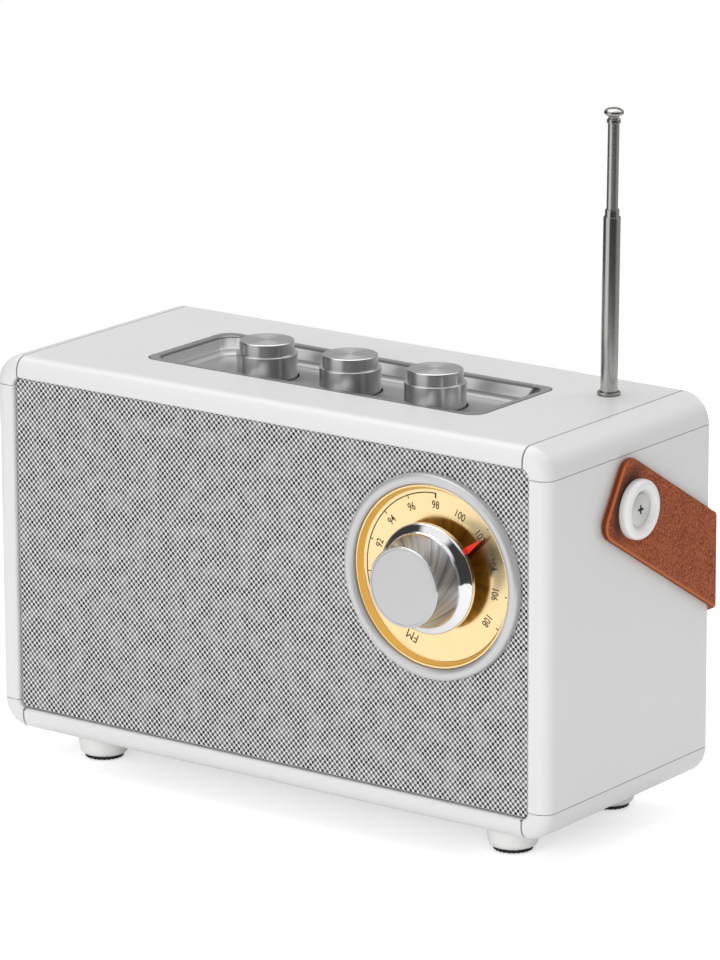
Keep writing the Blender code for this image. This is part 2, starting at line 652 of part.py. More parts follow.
def make_controls():
    """Three knobs on potentiometers, which hang from a plate under the top board."""
    plate_high = -RAIL - FIT
    plate_low = plate_high - PLATE_THICKNESS
    pot_high = plate_low - FIT
    seat = pot_high - POT_SEAT
    bore_top = KNOB_RISE - KNOB_BORE_COVER
    skirt_low = plate_high + FIT
    half_length = TRAY_LENGTH / 2 + PLATE_OVERLAP
    half_depth = TRAY_DEPTH / 2 + PLATE_OVERLAP
    plate = block(
        "control_plate", (-half_length, TRAY_Y - half_depth, TOP + plate_low),
        (half_length, TRAY_Y + half_depth, TOP + plate_high), STEEL,
    )
    for name, x in knob_places():
        centre = (x, TRAY_Y, TOP)
        knob_profile = [
            (0, KNOB_RISE),
            (KNOB_CAP_RADIUS - KNOB_EDGE, KNOB_RISE),
            (KNOB_CAP_RADIUS, KNOB_RISE - KNOB_EDGE),
            (KNOB_CAP_RADIUS, KNOB_STEP),
            (KNOB_SKIRT_RADIUS - KNOB_EDGE / 2, KNOB_STEP),
            (KNOB_SKIRT_RADIUS, KNOB_STEP - KNOB_EDGE / 2),
            (KNOB_SKIRT_RADIUS, skirt_low),
            (SHAFT_HOLE_RADIUS, skirt_low),
            (SHAFT_HOLE_RADIUS, bore_top),
            (0, bore_top),
        ]
        turned(f"{name}_knob", knob_profile, centre, SATIN_METAL)
        rod(f"{name}_shaft", SHAFT_RADIUS, seat, bore_top - FIT, centre, STEEL)
        hole = rod(f"{name}_shaft_hole", SHAFT_HOLE_RADIUS, plate_low - FIT, plate_high + FIT, centre, None)
        boolean(plate, hole)
        pot_profile = [
            (SHAFT_HOLE_RADIUS, pot_high),
            (POT_RADIUS, pot_high),
            (POT_RADIUS, pot_high - POT_HEIGHT),
            (0, pot_high - POT_HEIGHT),
            (0, seat - FIT),
            (SHAFT_HOLE_RADIUS, seat - FIT),
        ]
        turned(f"{name}_potentiometer", pot_profile, centre, BLACK_PLASTIC, SMALL_STEPS, ring=True)


def make_aerial(top_board):
    """Collar, fixed tube and three sliding sections on one axis, which leans a little to the right."""
    axis = new_empty("aerial_axis", (AERIAL_X, AERIAL_Y, TOP), radio)
    axis.rotation_euler = (0, AERIAL_LEAN, 0)
    base = (0, 0, 0)
    bore = AERIAL_TUBE_RADIUS - AERIAL_SKIN
    sleeve_low = -RAIL + FIT
    collar_profile = [
        (bore, FIT + AERIAL_FLANGE_HEIGHT),
        (AERIAL_FLANGE_RADIUS, FIT + AERIAL_FLANGE_HEIGHT),
        (AERIAL_FLANGE_RADIUS, FIT),
        (AERIAL_TUBE_RADIUS, FIT),
        (AERIAL_TUBE_RADIUS, sleeve_low),
        (bore, sleeve_low),
    ]
    collar = turned("aerial_collar", collar_profile, base, STEEL, SMALL_STEPS, ring=True)
    tube_high = sleeve_low - FIT
    tube_low = tube_high - AERIAL_TUBE_LENGTH
    fixed = tube("aerial_tube", AERIAL_TUBE_RADIUS, bore, tube_low, tube_high, base, STEEL)
    lower_top = AERIAL_LOWER_SHOWN
    middle_top = lower_top + AERIAL_MIDDLE_SHOWN
    upper_top = middle_top + AERIAL_UPPER_SHOWN
    lower = tube(
        "aerial_lower", AERIAL_LOWER_RADIUS, AERIAL_LOWER_RADIUS - AERIAL_SKIN,
        lower_top - AERIAL_SECTION_LENGTH, lower_top, base, STEEL,
    )
    middle = tube(
        "aerial_middle", AERIAL_MIDDLE_RADIUS, AERIAL_MIDDLE_RADIUS - AERIAL_SKIN,
        middle_top - AERIAL_SECTION_LENGTH, middle_top, base, STEEL,
    )
    tip_low = upper_top + AERIAL_NECK
    neck_radius = AERIAL_UPPER_RADIUS + AERIAL_SKIN
    upper_profile = [
        (0, tip_low + AERIAL_TIP_HEIGHT),
        (AERIAL_TIP_RADIUS * 0.7, tip_low + AERIAL_TIP_HEIGHT * 0.93),
        (AERIAL_TIP_RADIUS, tip_low + AERIAL_TIP_HEIGHT * 0.6),
        (AERIAL_TIP_RADIUS * 0.85, tip_low + AERIAL_TIP_HEIGHT * 0.2),
        (neck_radius, tip_low),
        (neck_radius, upper_top),
        (AERIAL_UPPER_RADIUS, upper_top),
        (AERIAL_UPPER_RADIUS, upper_top - AERIAL_SECTION_LENGTH),
        (0, upper_top - AERIAL_SECTION_LENGTH),
    ]
    upper = turned("aerial_upper", upper_profile, base, STEEL, SMALL_STEPS)
    hole_radius = AERIAL_TUBE_RADIUS + FIT
    hole = rod("aerial_hole", hole_radius, tube_low - WALL, WALL, base, None)
    for piece in (collar, fixed, lower, middle, upper, hole):
        piece.parent = axis
    boolean(top_board, hole)
    clip_high = TOP + tube_low + CLIP_FROM_TUBE_END
    clip = block(
        "aerial_clip", (AERIAL_X - CLIP_WIDTH / 2, AERIAL_Y - CLIP_WIDTH / 2, clip_high - CLIP_HEIGHT),
        (SIDE - WALL - FIT, AERIAL_Y + CLIP_WIDTH / 2, clip_high), BLACK_PLASTIC,
    )
    boolean(clip, hole)


def strap_column(along):
    """Middle, slant and half width of the strap at a developed distance behind the pivot.

    The developed distance runs level, back along the side, round the edge and across the back.
    """
    to_bend = BACK + FIT - STRAP_BEND - PIVOT_Y
    fall = math.tan(STRAP_SLOPE)
    half = STRAP_WIDTH / 2
    if along < to_bend:
        share = min(1, (to_bend - along) / to_bend)
        slant = STRAP_SLOPE * share
        from_end = along / math.cos(STRAP_SLOPE) + STRAP_END
        if from_end < STRAP_END_RADIUS:
            short = STRAP_END_RADIUS - from_end
            half -= STRAP_END_RADIUS - math.sqrt(max(0, STRAP_END_RADIUS**2 - short**2))
        return -fall * along, slant, half / math.cos(STRAP_SLOPE - slant)
    past = along - to_bend
    span = strap_middle() - to_bend
    height = -fall * to_bend - fall * (past - past**2 / (2 * span))
    slope = math.atan(fall * (1 - past / span))
    return height, 0, half / math.cos(slope)


def strap_bend_length():
    return math.pi / 2 * (STRAP_BEND + STRAP_THICKNESS / 2)


def strap_middle():
    """Developed distance from the pivot to the middle of the back."""
    to_bend = BACK + FIT - STRAP_BEND - PIVOT_Y
    return to_bend + strap_bend_length() + SIDE + FIT - STRAP_BEND


def strap_point(along, height):
    """A place on the strap's middle surface, from its developed distance and its height over the pivot."""
    radius = STRAP_BEND + STRAP_THICKNESS / 2
    centre_x = SIDE + FIT - STRAP_BEND
    centre_y = BACK + FIT - STRAP_BEND
    past = along - (centre_y - PIVOT_Y)
    if past <= 0:
        return Vector((centre_x + radius, centre_y + past, PIVOT_Z + height))
    if past < strap_bend_length():
        angle = past / radius
        return Vector(
            (centre_x + radius * math.cos(angle), centre_y + radius * math.sin(angle), PIVOT_Z + height)
        )
    return Vector((centre_x - (past - strap_bend_length()), centre_y + radius, PIVOT_Z + height))


def strap_stations():
    """Developed distances of the columns, closer together at the rounded end and round the bend."""
    to_bend = BACK + FIT - STRAP_BEND - PIVOT_Y
    level = math.cos(STRAP_SLOPE)
    steps = 5
    stations = []
    for k in range(steps):
        from_end = STRAP_END_RADIUS * (1 - math.cos(math.pi / 2 * k / steps))
        stations.append((from_end - STRAP_END) * level)
    for low, high, count in (
        ((STRAP_END_RADIUS - STRAP_END) * level, to_bend, math.ceil(to_bend / STRAP_SEGMENT) + 1),
        (to_bend, to_bend + strap_bend_length(), 4),
        (to_bend + strap_bend_length(), strap_middle(), math.ceil(SIDE / STRAP_SEGMENT)),
    ):
        stations += [low + (high - low) * k / count for k in range(count)]
    stations.append(strap_middle())
    return stations


def make_strap():
    """One leather strap, from a screw on each side round the back, where it sags in the middle."""
    rows = 4
    stations = strap_stations()
    bm = bmesh.new()
    bmesh.ops.create_grid(bm, x_segments=len(stations) - 1, y_segments=rows, size=1)
    for vert in bm.verts:
        station = stations[round((vert.co.x + 1) / 2 * (len(stations) - 1))]
        across = vert.co.y
        height, slant, half = strap_column(station)
        along = station + across * half * math.sin(slant)
        vert.co = strap_point(along, height + across * half * math.cos(slant))
        vert.co -= Vector((0, PIVOT_Y, PIVOT_Z))
    strap = place("leather_strap", mesh_from("leather_strap", bm), (0, PIVOT_Y, PIVOT_Z), LEATHER)
    mirror = strap.modifiers.new("Other side", "MIRROR")
    mirror.use_clip = True
    mirror.merge_threshold = 0.01 * MM
    solidify = strap.modifiers.new("Thickness", "SOLIDIFY")
    solidify.thickness = STRAP_THICKNESS
    solidify.offset = 0
    solidify.use_even_offset = True
    return strap


def make_strap_fixings(strap, boards):
    """A cup washer and a screw on each side. Heights run out of the side from the strap's face."""
    for side, sign in (("left", -1), ("right", 1)):
        outward = (0, math.radians(90) * sign, 0)
        centre = (sign * STRAP_FACE, PIVOT_Y, PIVOT_Z)
        hole_radius = STRAP_SCREW_RADIUS + FIT
        washer_low = FIT
        washer_high = washer_low + WASHER_HEIGHT
        cup_floor = washer_high - WASHER_CUP_DEPTH
        edge = WASHER_HEIGHT / 4
        washer_profile = [
            (WASHER_CUP_RADIUS, washer_high - edge / 2),
            (WASHER_CUP_RADIUS + edge, washer_high),
            (WASHER_RADIUS - edge, washer_high),
            (WASHER_RADIUS, washer_high - edge),
            (WASHER_RADIUS, washer_low),
            (hole_radius, washer_low),
            (hole_radius, cup_floor),
            (WASHER_CUP_RADIUS, cup_floor),
        ]
        turned(
            f"strap_washer_{side}", washer_profile, centre, WHITE_PLASTIC, ring=True, rotation=outward
        )
        head_low = cup_floor + FIT
        head_high = head_low + STRAP_SCREW_HEAD_HEIGHT
        tip = -STRAP_THICKNESS - FIT - STRAP_SCREW_BITE
        screw_profile = [
            (0, head_high),
            (STRAP_SCREW_HEAD_RADIUS * 0.8, head_high - STRAP_SCREW_HEAD_HEIGHT * 0.15),
            (STRAP_SCREW_HEAD_RADIUS, head_low + STRAP_SCREW_HEAD_HEIGHT * 0.4),
            (STRAP_SCREW_HEAD_RADIUS, head_low),
            (STRAP_SCREW_RADIUS, head_low),
            (STRAP_SCREW_RADIUS, tip),
            (0, tip),
        ]
        screw = turned(
            f"strap_screw_{side}", screw_profile, centre, WHITE_PLASTIC, SMALL_STEPS, rotation=outward
        )
        slot_low = sign * (STRAP_FACE + head_high - CROSS_DEPTH)
        slot_high = sign * (STRAP_FACE + head_high + CROSS_DEPTH)
        for name, half_y, half_z in (
            ("level", CROSS_LENGTH / 2, CROSS_WIDTH / 2),
            ("upright", CROSS_WIDTH / 2, CROSS_LENGTH / 2),
        ):
            low = (min(slot_low, slot_high), PIVOT_Y - half_y, PIVOT_Z - half_z)
            high = (max(slot_low, slot_high), PIVOT_Y + half_y, PIVOT_Z + half_z)
            boolean(screw, block(f"cross_{name}_{side}", low, high, None))
        hole = rod(
            f"strap_hole_{side}", hole_radius, tip - FIT, WALL, centre, None, rotation=outward
        )
        boolean(strap, hole)
        boolean(boards[side], hole)


def make_rear(boards):
    """The rear panel in its rebate, its four screws, and the boards' holes for them."""
    past = 2 * MM
    margin = REAR_LEDGE - FIT
    form = opening_form("rear_panel_form", margin, OPENING_RADIUS + margin, REAR_PANEL_FRONT, REAR_PANEL_BACK)
    panel = place("rear_panel", form.data.copy(), form.location, BLACK_PLASTIC)
    bpy.data.objects.remove(form, do_unlink=True)
    for side, sign in (("left", -1), ("right", 1)):
        for level, half in (("lower", -1), ("upper", 1)):
            x = sign * (OPENING_WIDTH / 2 + REAR_SCREW_INSET)
            z = MIDDLE + half * (CABINET_HEIGHT / 2 - REAR_SCREW_FROM_END)
            centre = (x, REAR_PANEL_BACK, z)
            tip = REAR_SCREW_HEAD_HEIGHT - REAR_SCREW_LENGTH
            head_low = -REAR_SCREW_HEAD_HEIGHT
            screw_profile = [
                (0, 0),
                (REAR_SCREW_HEAD_RADIUS, 0),
                (REAR_SCREW_HEAD_RADIUS, head_low),
                (REAR_SCREW_RADIUS, head_low),
                (REAR_SCREW_RADIUS, tip),
                (0, tip),
            ]
            name = f"rear_screw_{level}_{side}"
            turned(name, screw_profile, centre, STEEL, 16, rotation=FACING_BACK)
            seat_profile = [
                (0, past),
                (REAR_SCREW_HEAD_RADIUS + FIT, past),
                (REAR_SCREW_HEAD_RADIUS + FIT, head_low - FIT),
                (REAR_SCREW_RADIUS + FIT, head_low - FIT),
                (REAR_SCREW_RADIUS + FIT, tip - FIT),
                (0, tip - FIT),
            ]
            seat = turned(f"{name}_seat", seat_profile, centre, None, 16, rotation=FACING_BACK)
            boolean(panel, seat)
            boolean(boards[side], seat)
    return panel


def make_electronics(panel):
    """Main board on the rear panel's bosses, power socket through the panel, battery on the floor."""
    board_low = FLOOR + BOARD_ABOVE_FLOOR
    board_back = REAR_PANEL_FRONT - BOSS_LENGTH - FIT
    half = BOARD_LENGTH / 2
    block(
        "main_board", (-half, board_back - BOARD_THICKNESS, board_low),
        (half, board_back, board_low + BOARD_HEIGHT), CIRCUIT_GREEN,
    )
    for side, x in (("left", BOSS_INSET - half), ("right", half - BOSS_INSET)):
        for level, z in (("lower", board_low + BOSS_INSET), ("upper", board_low + BOARD_HEIGHT - BOSS_INSET)):
            boss = rod(
                f"boss_{level}_{side}", BOSS_RADIUS, -REAR_PANEL_THICKNESS / 2, BOSS_LENGTH,
                (x, REAR_PANEL_FRONT, z), None, rotation=FACING_FRONT,
            )
            boolean(panel, boss, "UNION")
    socket_z = board_low + BOARD_HEIGHT / 2
    half_width = SOCKET_WIDTH / 2 + SOCKET_WALL
    half_height = SOCKET_HEIGHT / 2 + SOCKET_WALL
    socket_front = board_back + FIT
    socket = block(
        "power_socket", (SOCKET_X - half_width, socket_front, socket_z - half_height),
        (SOCKET_X + half_width, REAR_PANEL_BACK, socket_z + half_height), STEEL,
    )
    mouth = block(
        "socket_mouth",
        (SOCKET_X - SOCKET_WIDTH / 2, REAR_PANEL_BACK - SOCKET_MOUTH_DEPTH, socket_z - SOCKET_HEIGHT / 2),
        (SOCKET_X + SOCKET_WIDTH / 2, REAR_PANEL_BACK + SOCKET_WALL, socket_z + SOCKET_HEIGHT / 2), None,
    )
    boolean(socket, mouth)
    window = block(
        "socket_window", (SOCKET_X - half_width - FIT, REAR_PANEL_FRONT - FIT, socket_z - half_height - FIT),
        (SOCKET_X + half_width + FIT, REAR_PANEL_BACK + FIT, socket_z + half_height + FIT), None,
    )
    boolean(panel, window)
    block(
        "battery_pack", (BATTERY_X - BATTERY_LENGTH / 2, BATTERY_Y - BATTERY_DEPTH / 2, FLOOR + FIT),
        (BATTERY_X + BATTERY_LENGTH / 2, BATTERY_Y + BATTERY_DEPTH / 2, FLOOR + FIT + BATTERY_HEIGHT),
        BATTERY_BLUE, BATTERY_ROUND, along=0,
    )


clear_scene()
cutters = bpy.data.collections.new("cutters")
bpy.context.scene.collection.children.link(cutters)
radio = new_empty("radio", (0, CASE_SHIFT, 0))

cabinet = make_cabinet()
side_boards = {"left": cabinet["left_board"], "right": cabinet["right_board"]}
make_feet()
make_front()
make_speaker()
make_dial()
make_tuning()
make_tray(cabinet["top_board"])
make_controls()
make_aerial(cabinet["top_board"])
make_strap_fixings(make_strap(), side_boards)
make_electronics(make_rear(side_boards))
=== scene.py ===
"""Looks for the portable radio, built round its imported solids.

Metres, +Z up, the front faces -Y.
"""

import json
import math
from bisect import bisect

import bmesh
import bpy
from mathutils import Matrix, Vector


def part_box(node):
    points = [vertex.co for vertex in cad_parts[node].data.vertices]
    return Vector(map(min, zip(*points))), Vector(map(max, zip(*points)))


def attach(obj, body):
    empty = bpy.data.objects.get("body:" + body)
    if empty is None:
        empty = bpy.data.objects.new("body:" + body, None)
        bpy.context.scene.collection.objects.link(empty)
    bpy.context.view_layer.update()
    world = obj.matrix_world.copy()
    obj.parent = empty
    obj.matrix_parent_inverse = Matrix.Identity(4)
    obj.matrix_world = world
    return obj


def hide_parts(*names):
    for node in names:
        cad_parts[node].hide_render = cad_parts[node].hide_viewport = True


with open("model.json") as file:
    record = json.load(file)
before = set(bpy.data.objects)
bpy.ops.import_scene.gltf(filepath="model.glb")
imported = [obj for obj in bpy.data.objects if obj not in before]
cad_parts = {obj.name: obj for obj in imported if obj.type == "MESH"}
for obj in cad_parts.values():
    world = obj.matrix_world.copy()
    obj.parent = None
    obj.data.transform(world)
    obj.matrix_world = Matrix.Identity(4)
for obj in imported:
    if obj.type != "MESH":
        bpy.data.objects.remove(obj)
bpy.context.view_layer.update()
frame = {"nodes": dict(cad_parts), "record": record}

MM = 0.001
TINY = 1e-7
SMOOTH_ANGLE = 35
NEEDLE_ANGLE = 20
LEATHER_ANGLE = 60
BEVEL_ANGLE = 50
KNOBS = ("bass", "volume", "treble")

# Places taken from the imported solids
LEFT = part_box("left_board")[0].x
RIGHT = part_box("right_board")[1].x
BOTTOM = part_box("bottom_board")[0].z
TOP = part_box("top_board")[1].z
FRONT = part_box("top_board")[0].y
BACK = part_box("top_board")[1].y
CENTRE = Vector(((LEFT + RIGHT) / 2, (FRONT + BACK) / 2, (BOTTOM + TOP) / 2))
CASE_SIZE = Vector((RIGHT - LEFT, BACK - FRONT, TOP - BOTTOM))


def middle_of(node):
    low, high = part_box(node)
    return (low + high) / 2


# Cabinet and hole sizes, as in the solids
CORNER_RADIUS = 10.7 * MM
WALL = 8.5 * MM
RAIL = 7.7 * MM
FRONT_ROUND = 5 * MM
BACK_ROUND = 1 * MM
OPENING_RADIUS = 3 * MM
FIT = 0.3 * MM
REAR_LEDGE = 4.5 * MM
REAR_PANEL_DEPTH = 4.5 * MM
REAR_SEAT_RADIUS = 2.1 * MM
REAR_SEAT_DEPTH = 1.5 * MM
REAR_HOLE_RADIUS = 1.2 * MM
REAR_HOLE_DEPTH = 11.1 * MM
STRAP_HOLE = 2.8 * MM
KNOB_HOLE = 11.5 * MM

# Seams and soft edges, which differ a little from the solids
TOP_SEAM_GAP = 0.5 * MM
SIDE_SEAM_GAP = 0.16 * MM
EDGE_SOFT = 0.12 * MM
OPENING_SOFT = 1.2 * MM

# Camera, fitted to the photo's edges
CAMERA_AZIMUTH = math.radians(36.565)
CAMERA_ELEVATION = math.radians(14.978)
CAMERA_ROLL = math.radians(-0.282)
CAMERA_PLACE = Vector((1184.579, -1582.595, 641.399)) * MM
CAMERA_LENS = 218.71
SENSOR_WIDTH = 36

slot_of = {part["node"]: part["material_slot"] for part in frame["record"]["subparts"]}
body_of = {node: body for body, nodes in frame["record"]["behaviour"]["bodies"].items() for node in nodes}


class Shades:
    """A node tree, with short ways to add nodes to it."""

    def __init__(self, tree):
        self.tree = tree

    def feed(self, socket, value):
        """Links a socket to another, or sets it. A colour gains its alpha."""
        if isinstance(value, bpy.types.NodeSocket):
            self.tree.links.new(value, socket)
        elif socket.type == "RGBA":
            socket.default_value = (*value, 1)
        else:
            socket.default_value = value

    def node(self, kind, inputs=(), **settings):
        node = self.tree.nodes.new("ShaderNode" + kind)
        for name, value in settings.items():
            setattr(node, name, value)
        for key, value in dict(inputs).items():
            self.feed(node.inputs[key], value)
        return node

    def math(self, operation, first, second=0.0):
        return self.node("Math", {0: first, 1: second}, operation=operation).outputs[0]

    def spread(self, value, low, high, from_low=0.0, from_high=1.0, smooth=False):
        """A value mapped from one range to another, and held inside it."""
        inputs = {0: value, 1: from_low, 2: from_high, 3: low, 4: high}
        kind = "SMOOTHSTEP" if smooth else "LINEAR"
        return self.node("MapRange", inputs, interpolation_type=kind).outputs[0]

    def mix(self, factor, first, second):
        return self.node("Mix", {0: factor, 6: first, 7: second}, data_type="RGBA").outputs[2]

    def weighted(self, first, first_share, second, second_share):
        """The sum of two values, each times its share."""
        first = self.math("MULTIPLY", first, first_share)
        return self.math("ADD", first, self.math("MULTIPLY", second, second_share))

    def hypot(self, x, y):
        return self.math("SQRT", self.math("ADD", self.math("POWER", x, 2.0), self.math("POWER", y, 2.0)))


class Look(Shades):
    """A Principled material."""

    def __init__(self, name, colour, roughness, metallic=0.0, **constants):
        self.material = bpy.data.materials.new(name)
        self.material.use_nodes = True
        super().__init__(self.material.node_tree)
        self.shader = self.tree.nodes["Principled BSDF"]
        self.colour(colour)
        self.rough(roughness)
        self.shader.inputs["Metallic"].default_value = metallic
        for word, value in constants.items():
            socket = word.replace("_", " ").title().replace("Ior", "IOR")
            self.shader.inputs[socket].default_value = value

    def place(self, scale=(1, 1, 1)):
        """Object coordinates times a scale."""
        where = self.node("TexCoord").outputs["Object"]
        return self.node("Mapping", {"Vector": where, "Scale": scale}).outputs[0]

    def axes(self):
        return self.node("SeparateXYZ", {0: self.node("TexCoord").outputs["Object"]}).outputs

    def noise(self, scale, detail=2.0, roughness=0.5, stretch=(1, 1, 1)):
        inputs = {"Vector": self.place(stretch), "Scale": scale, "Detail": detail, "Roughness": roughness}
        return self.node("TexNoise", inputs).outputs["Fac"]

    def noise_along(self, value, scale, detail=3.0):
        inputs = {"W": value, "Scale": scale, "Detail": detail}
        return self.node("TexNoise", inputs, noise_dimensions="1D").outputs["Fac"]

    def colour(self, value):
        self.feed(self.shader.inputs["Base Color"], value)

    def rough(self, value):
        self.feed(self.shader.inputs["Roughness"], value)

    def bump(self, height, distance, strength=1.0):
        bump = self.node("Bump", {"Height": height, "Distance": distance, "Strength": strength})
        before = self.shader.inputs["Normal"].links
        if before:
            self.feed(bump.inputs["Normal"], before[0].from_socket)
        self.feed(self.shader.inputs["Normal"], bump.outputs[0])

    def mark(self, marks, colour, contrast, low, high):
        """Tool marks in a metal. They vary its colour, and its roughness from low to high."""
        self.colour(self.mix(marks, *tints(colour, 1 - contrast, 1 + contrast)))
        self.rough(self.spread(marks, low, high, 0.3, 0.7))

    def turn_grain(self):
        """Turns the stretched highlights about the piece's own Z."""
        tangent = self.node("Tangent", direction_type="RADIAL", axis="Z")
        self.feed(self.shader.inputs["Tangent"], tangent.outputs[0])


def tints(colour, dark, pale):
    """A darker and a paler tint of a colour."""
    return tuple(c * dark for c in colour), tuple(min(1, c * pale) for c in colour)


def paint_look(name, pale, dark, roughness):
    """Sprayed paint: a faint mottle and a fine orange peel."""
    look = Look(name, pale, roughness)
    look.colour(look.mix(look.noise(14, 4), dark, pale))
    look.rough(look.spread(look.noise(60, 3), roughness - 0.04, roughness + 0.05))
    look.bump(look.noise(700, 2), 0.006 * MM, 0.35)
    return look.material


def plastic_look(name, pale, dark, roughness, grain=900, depth=0.01):
    look = Look(name, pale, roughness)
    look.colour(look.mix(look.noise(40, 3), dark, pale))
    look.rough(look.spread(look.noise(120, 2), roughness - 0.05, roughness + 0.06))
    look.bump(look.noise(grain, 2), depth * MM, 0.5)
    return look.material


THREAD_ACROSS = 1.048 * MM
THREAD_UP = 1.092 * MM
THREAD_WANDER = 0.8


def cloth_look():
    """A plain weave, where dark thread shows at every other crossing of the pale thread."""
    look = Look("grille_weave", (0.7, 0.7, 0.7), 0.85, specular_ior_level=0.2)
    x, _, z = look.axes()
    wander = look.math("SUBTRACT", look.noise(260, 2), 0.5)
    wander_up = look.math("SUBTRACT", look.noise(300, 2, stretch=(1, 1, 1.1)), 0.5)
    across = look.weighted(x, math.pi / THREAD_ACROSS, wander, THREAD_WANDER)
    up = look.weighted(z, math.pi / THREAD_UP, wander_up, THREAD_WANDER)
    falling = look.math("COSINE", look.math("ADD", across, up))
    rising = look.math("COSINE", look.math("SUBTRACT", across, up))
    cross = look.weighted(falling, 0.52, rising, 0.48)
    dot = look.spread(cross, 0, 1, -0.12, 0.12, smooth=True)
    uneven = look.spread(look.noise(420, 1), 0.88, 1.0, 0.35, 0.6)
    slubs = look.spread(look.noise(170, 2), 0.84, 1.0, 0.36, 0.56)
    dark = look.math("MULTIPLY", dot, look.math("MULTIPLY", uneven, slubs))
    thread = look.mix(look.noise(900, 2), (0.66, 0.66, 0.665), (0.84, 0.84, 0.845))
    look.colour(look.mix(dark, thread, (0.010, 0.010, 0.012)))
    look.bump(look.math("SUBTRACT", 1.0, dot), 0.2 * MM, 0.6)
    look.bump(look.noise(3000, 2), 0.05 * MM, 0.4)
    return look.material


def spun_look(name, colour, roughness, metallic=1.0, anisotropic=0.75, contrast=0.08):
    """Metal turned about the piece's own Z: it spreads light across its concentric marks."""
    look = Look(name, colour, roughness, metallic, anisotropic=anisotropic, anisotropic_rotation=0.25)
    x, y, _ = look.axes()
    marks = look.noise_along(look.hypot(x, y), 9000)
    look.mark(marks, colour, contrast, roughness - 0.05, roughness + 0.07)
    look.bump(marks, 0.01 * MM, 0.2)
    look.turn_grain()
    return look.material


def turned_look(name, colour, roughness, fine=3000, anisotropic=0.7):
    """The side of a turned piece: fine marks round it, which draw light out along its Z."""
    look = Look(name, colour, roughness, 1.0, anisotropic=anisotropic, anisotropic_rotation=0.25)
    _, _, z = look.axes()
    marks = look.noise_along(z, fine)
    look.mark(marks, colour, 0.015, roughness - 0.01, roughness + 0.01)
    look.turn_grain()
    return look.material


def streaked_look(name, colour, roughness):
    """The flank of a turned knob, drawn out in painted reflection streaks, dark and pale, that run from its
    face to its flange.
    """
    look = Look(name, colour, roughness, 1.0, anisotropic=0.6, anisotropic_rotation=0.25)
    x, y, z = look.axes()
    turn = look.math("ADD", look.math("ARCTAN2", y, x), look.math("MULTIPLY", z, 60.0))
    reflection_streaks = look.spread(look.noise_along(turn, 5, 4), 0, 1, 0.3, 0.7)
    look.colour(look.mix(reflection_streaks, *tints(colour, 0.45, 1.25)))
    look.rough(look.spread(reflection_streaks, roughness + 0.08, roughness - 0.05))
    look.turn_grain()
    return look.material


def brushed_look(name, colour, roughness, stretch=(25, 1500, 1500)):
    """Metal brushed one way: the noise is drawn out along that way."""
    look = Look(name, colour, roughness, 1.0, anisotropic=0.3)
    marks = look.noise(1.0, 4, 0.6, stretch)
    look.mark(marks, colour, 0.015, roughness - 0.01, roughness + 0.01)
    return look.material


def polished_look(name, colour, roughness, metallic=1.0):
    """Plated metal with faint wipe marks."""
    look = Look(name, colour, roughness, metallic)
    smear = look.noise(90, 3, 0.6)
    look.rough(look.spread(smear, roughness * 0.7, roughness * 1.5, 0.3, 0.7))
    look.colour(look.mix(look.noise(30, 2), *tints(colour, 0.97, 1.02)))
    return look.material


STRAP_MARKS = ("edge", "lower_edge_glint", "washer_shadow")


def leather_look():
    """Pebbled leather, with painted highlight on its pebbles and painted shade between them. Attributes give
    the distance to the cut edge in metres, a mask for the painted highlight on the lower and end edges, and
    the washers' painted shadow.
    """
    look = Look("pebbled_leather", (0.3, 0.09, 0.04), 0.5, specular_ior_level=0.16)
    edge, lower_edge_glint, washer_shadow = (look.node("Attribute", attribute_name=mark).outputs["Fac"] for mark in STRAP_MARKS)
    inputs = {"Vector": look.place(), "Scale": 1450.0, "Randomness": 1.0}
    cells = look.node("TexVoronoi", inputs, feature="SMOOTH_F1").outputs["Distance"]
    fine = look.noise(2600, 2)
    mottle = look.spread(look.noise(160, 4, 0.6), 0, 1, 0.3, 0.7)
    body = look.mix(mottle, (0.33, 0.074, 0.025), (0.43, 0.103, 0.036))
    # Painted highlight on the pebbles' crowns, and painted shade in the hollows between them, over the real
    # grain bump.
    lit_crowns = look.mix(look.spread(cells, 0.9, 0, 0.1, 0.34), body, (0.62, 0.190, 0.078))
    shaded_hollows = look.mix(look.spread(cells, 0, 0.76, 0.36, 0.74), lit_crowns, (0.13, 0.025, 0.009))
    # Painted shadow: the leather goes dark beside each washer, on its end side only.
    shadowed = look.mix(look.math("MULTIPLY", washer_shadow, 0.97), shaded_hollows, (0.045, 0.009, 0.001))
    # Painted highlight: a burnished orange band on the rolled corner of the lower and end edges, left off the
    # top edge.
    corner = look.spread(edge, 1, 0, 0.5 * MM, 1.2 * MM, smooth=True)
    rolled = look.mix(look.math("MULTIPLY", corner, lower_edge_glint), shadowed, (0.58, 0.145, 0.040))
    cut = look.spread(edge, 1, 0, 0.02 * MM, 0.2 * MM)
    look.colour(look.mix(cut, rolled, (0.15, 0.034, 0.012)))
    look.rough(look.spread(fine, 0.42, 0.62))
    look.bump(cells, 0.35 * MM, -0.7)
    look.bump(fine, 0.1 * MM, 0.3)
    return look.material


def board_look():
    """Printed circuit board: solder mask with paler tracks."""
    look = Look("circuit_board", (0.03, 0.16, 0.06), 0.45)
    bricks = {"Vector": look.place(), "Scale": 90.0, "Mortar Size": 0.03}
    tracks = look.node("TexBrick", bricks).outputs["Fac"]
    look.colour(look.mix(tracks, (0.02, 0.13, 0.05), (0.06, 0.26, 0.1)))
    look.rough(look.spread(look.noise(300), 0.4, 0.55))
    return look.material


def in_mm(pairs):
    return [(radius * MM, height * MM) for radius, height in pairs]


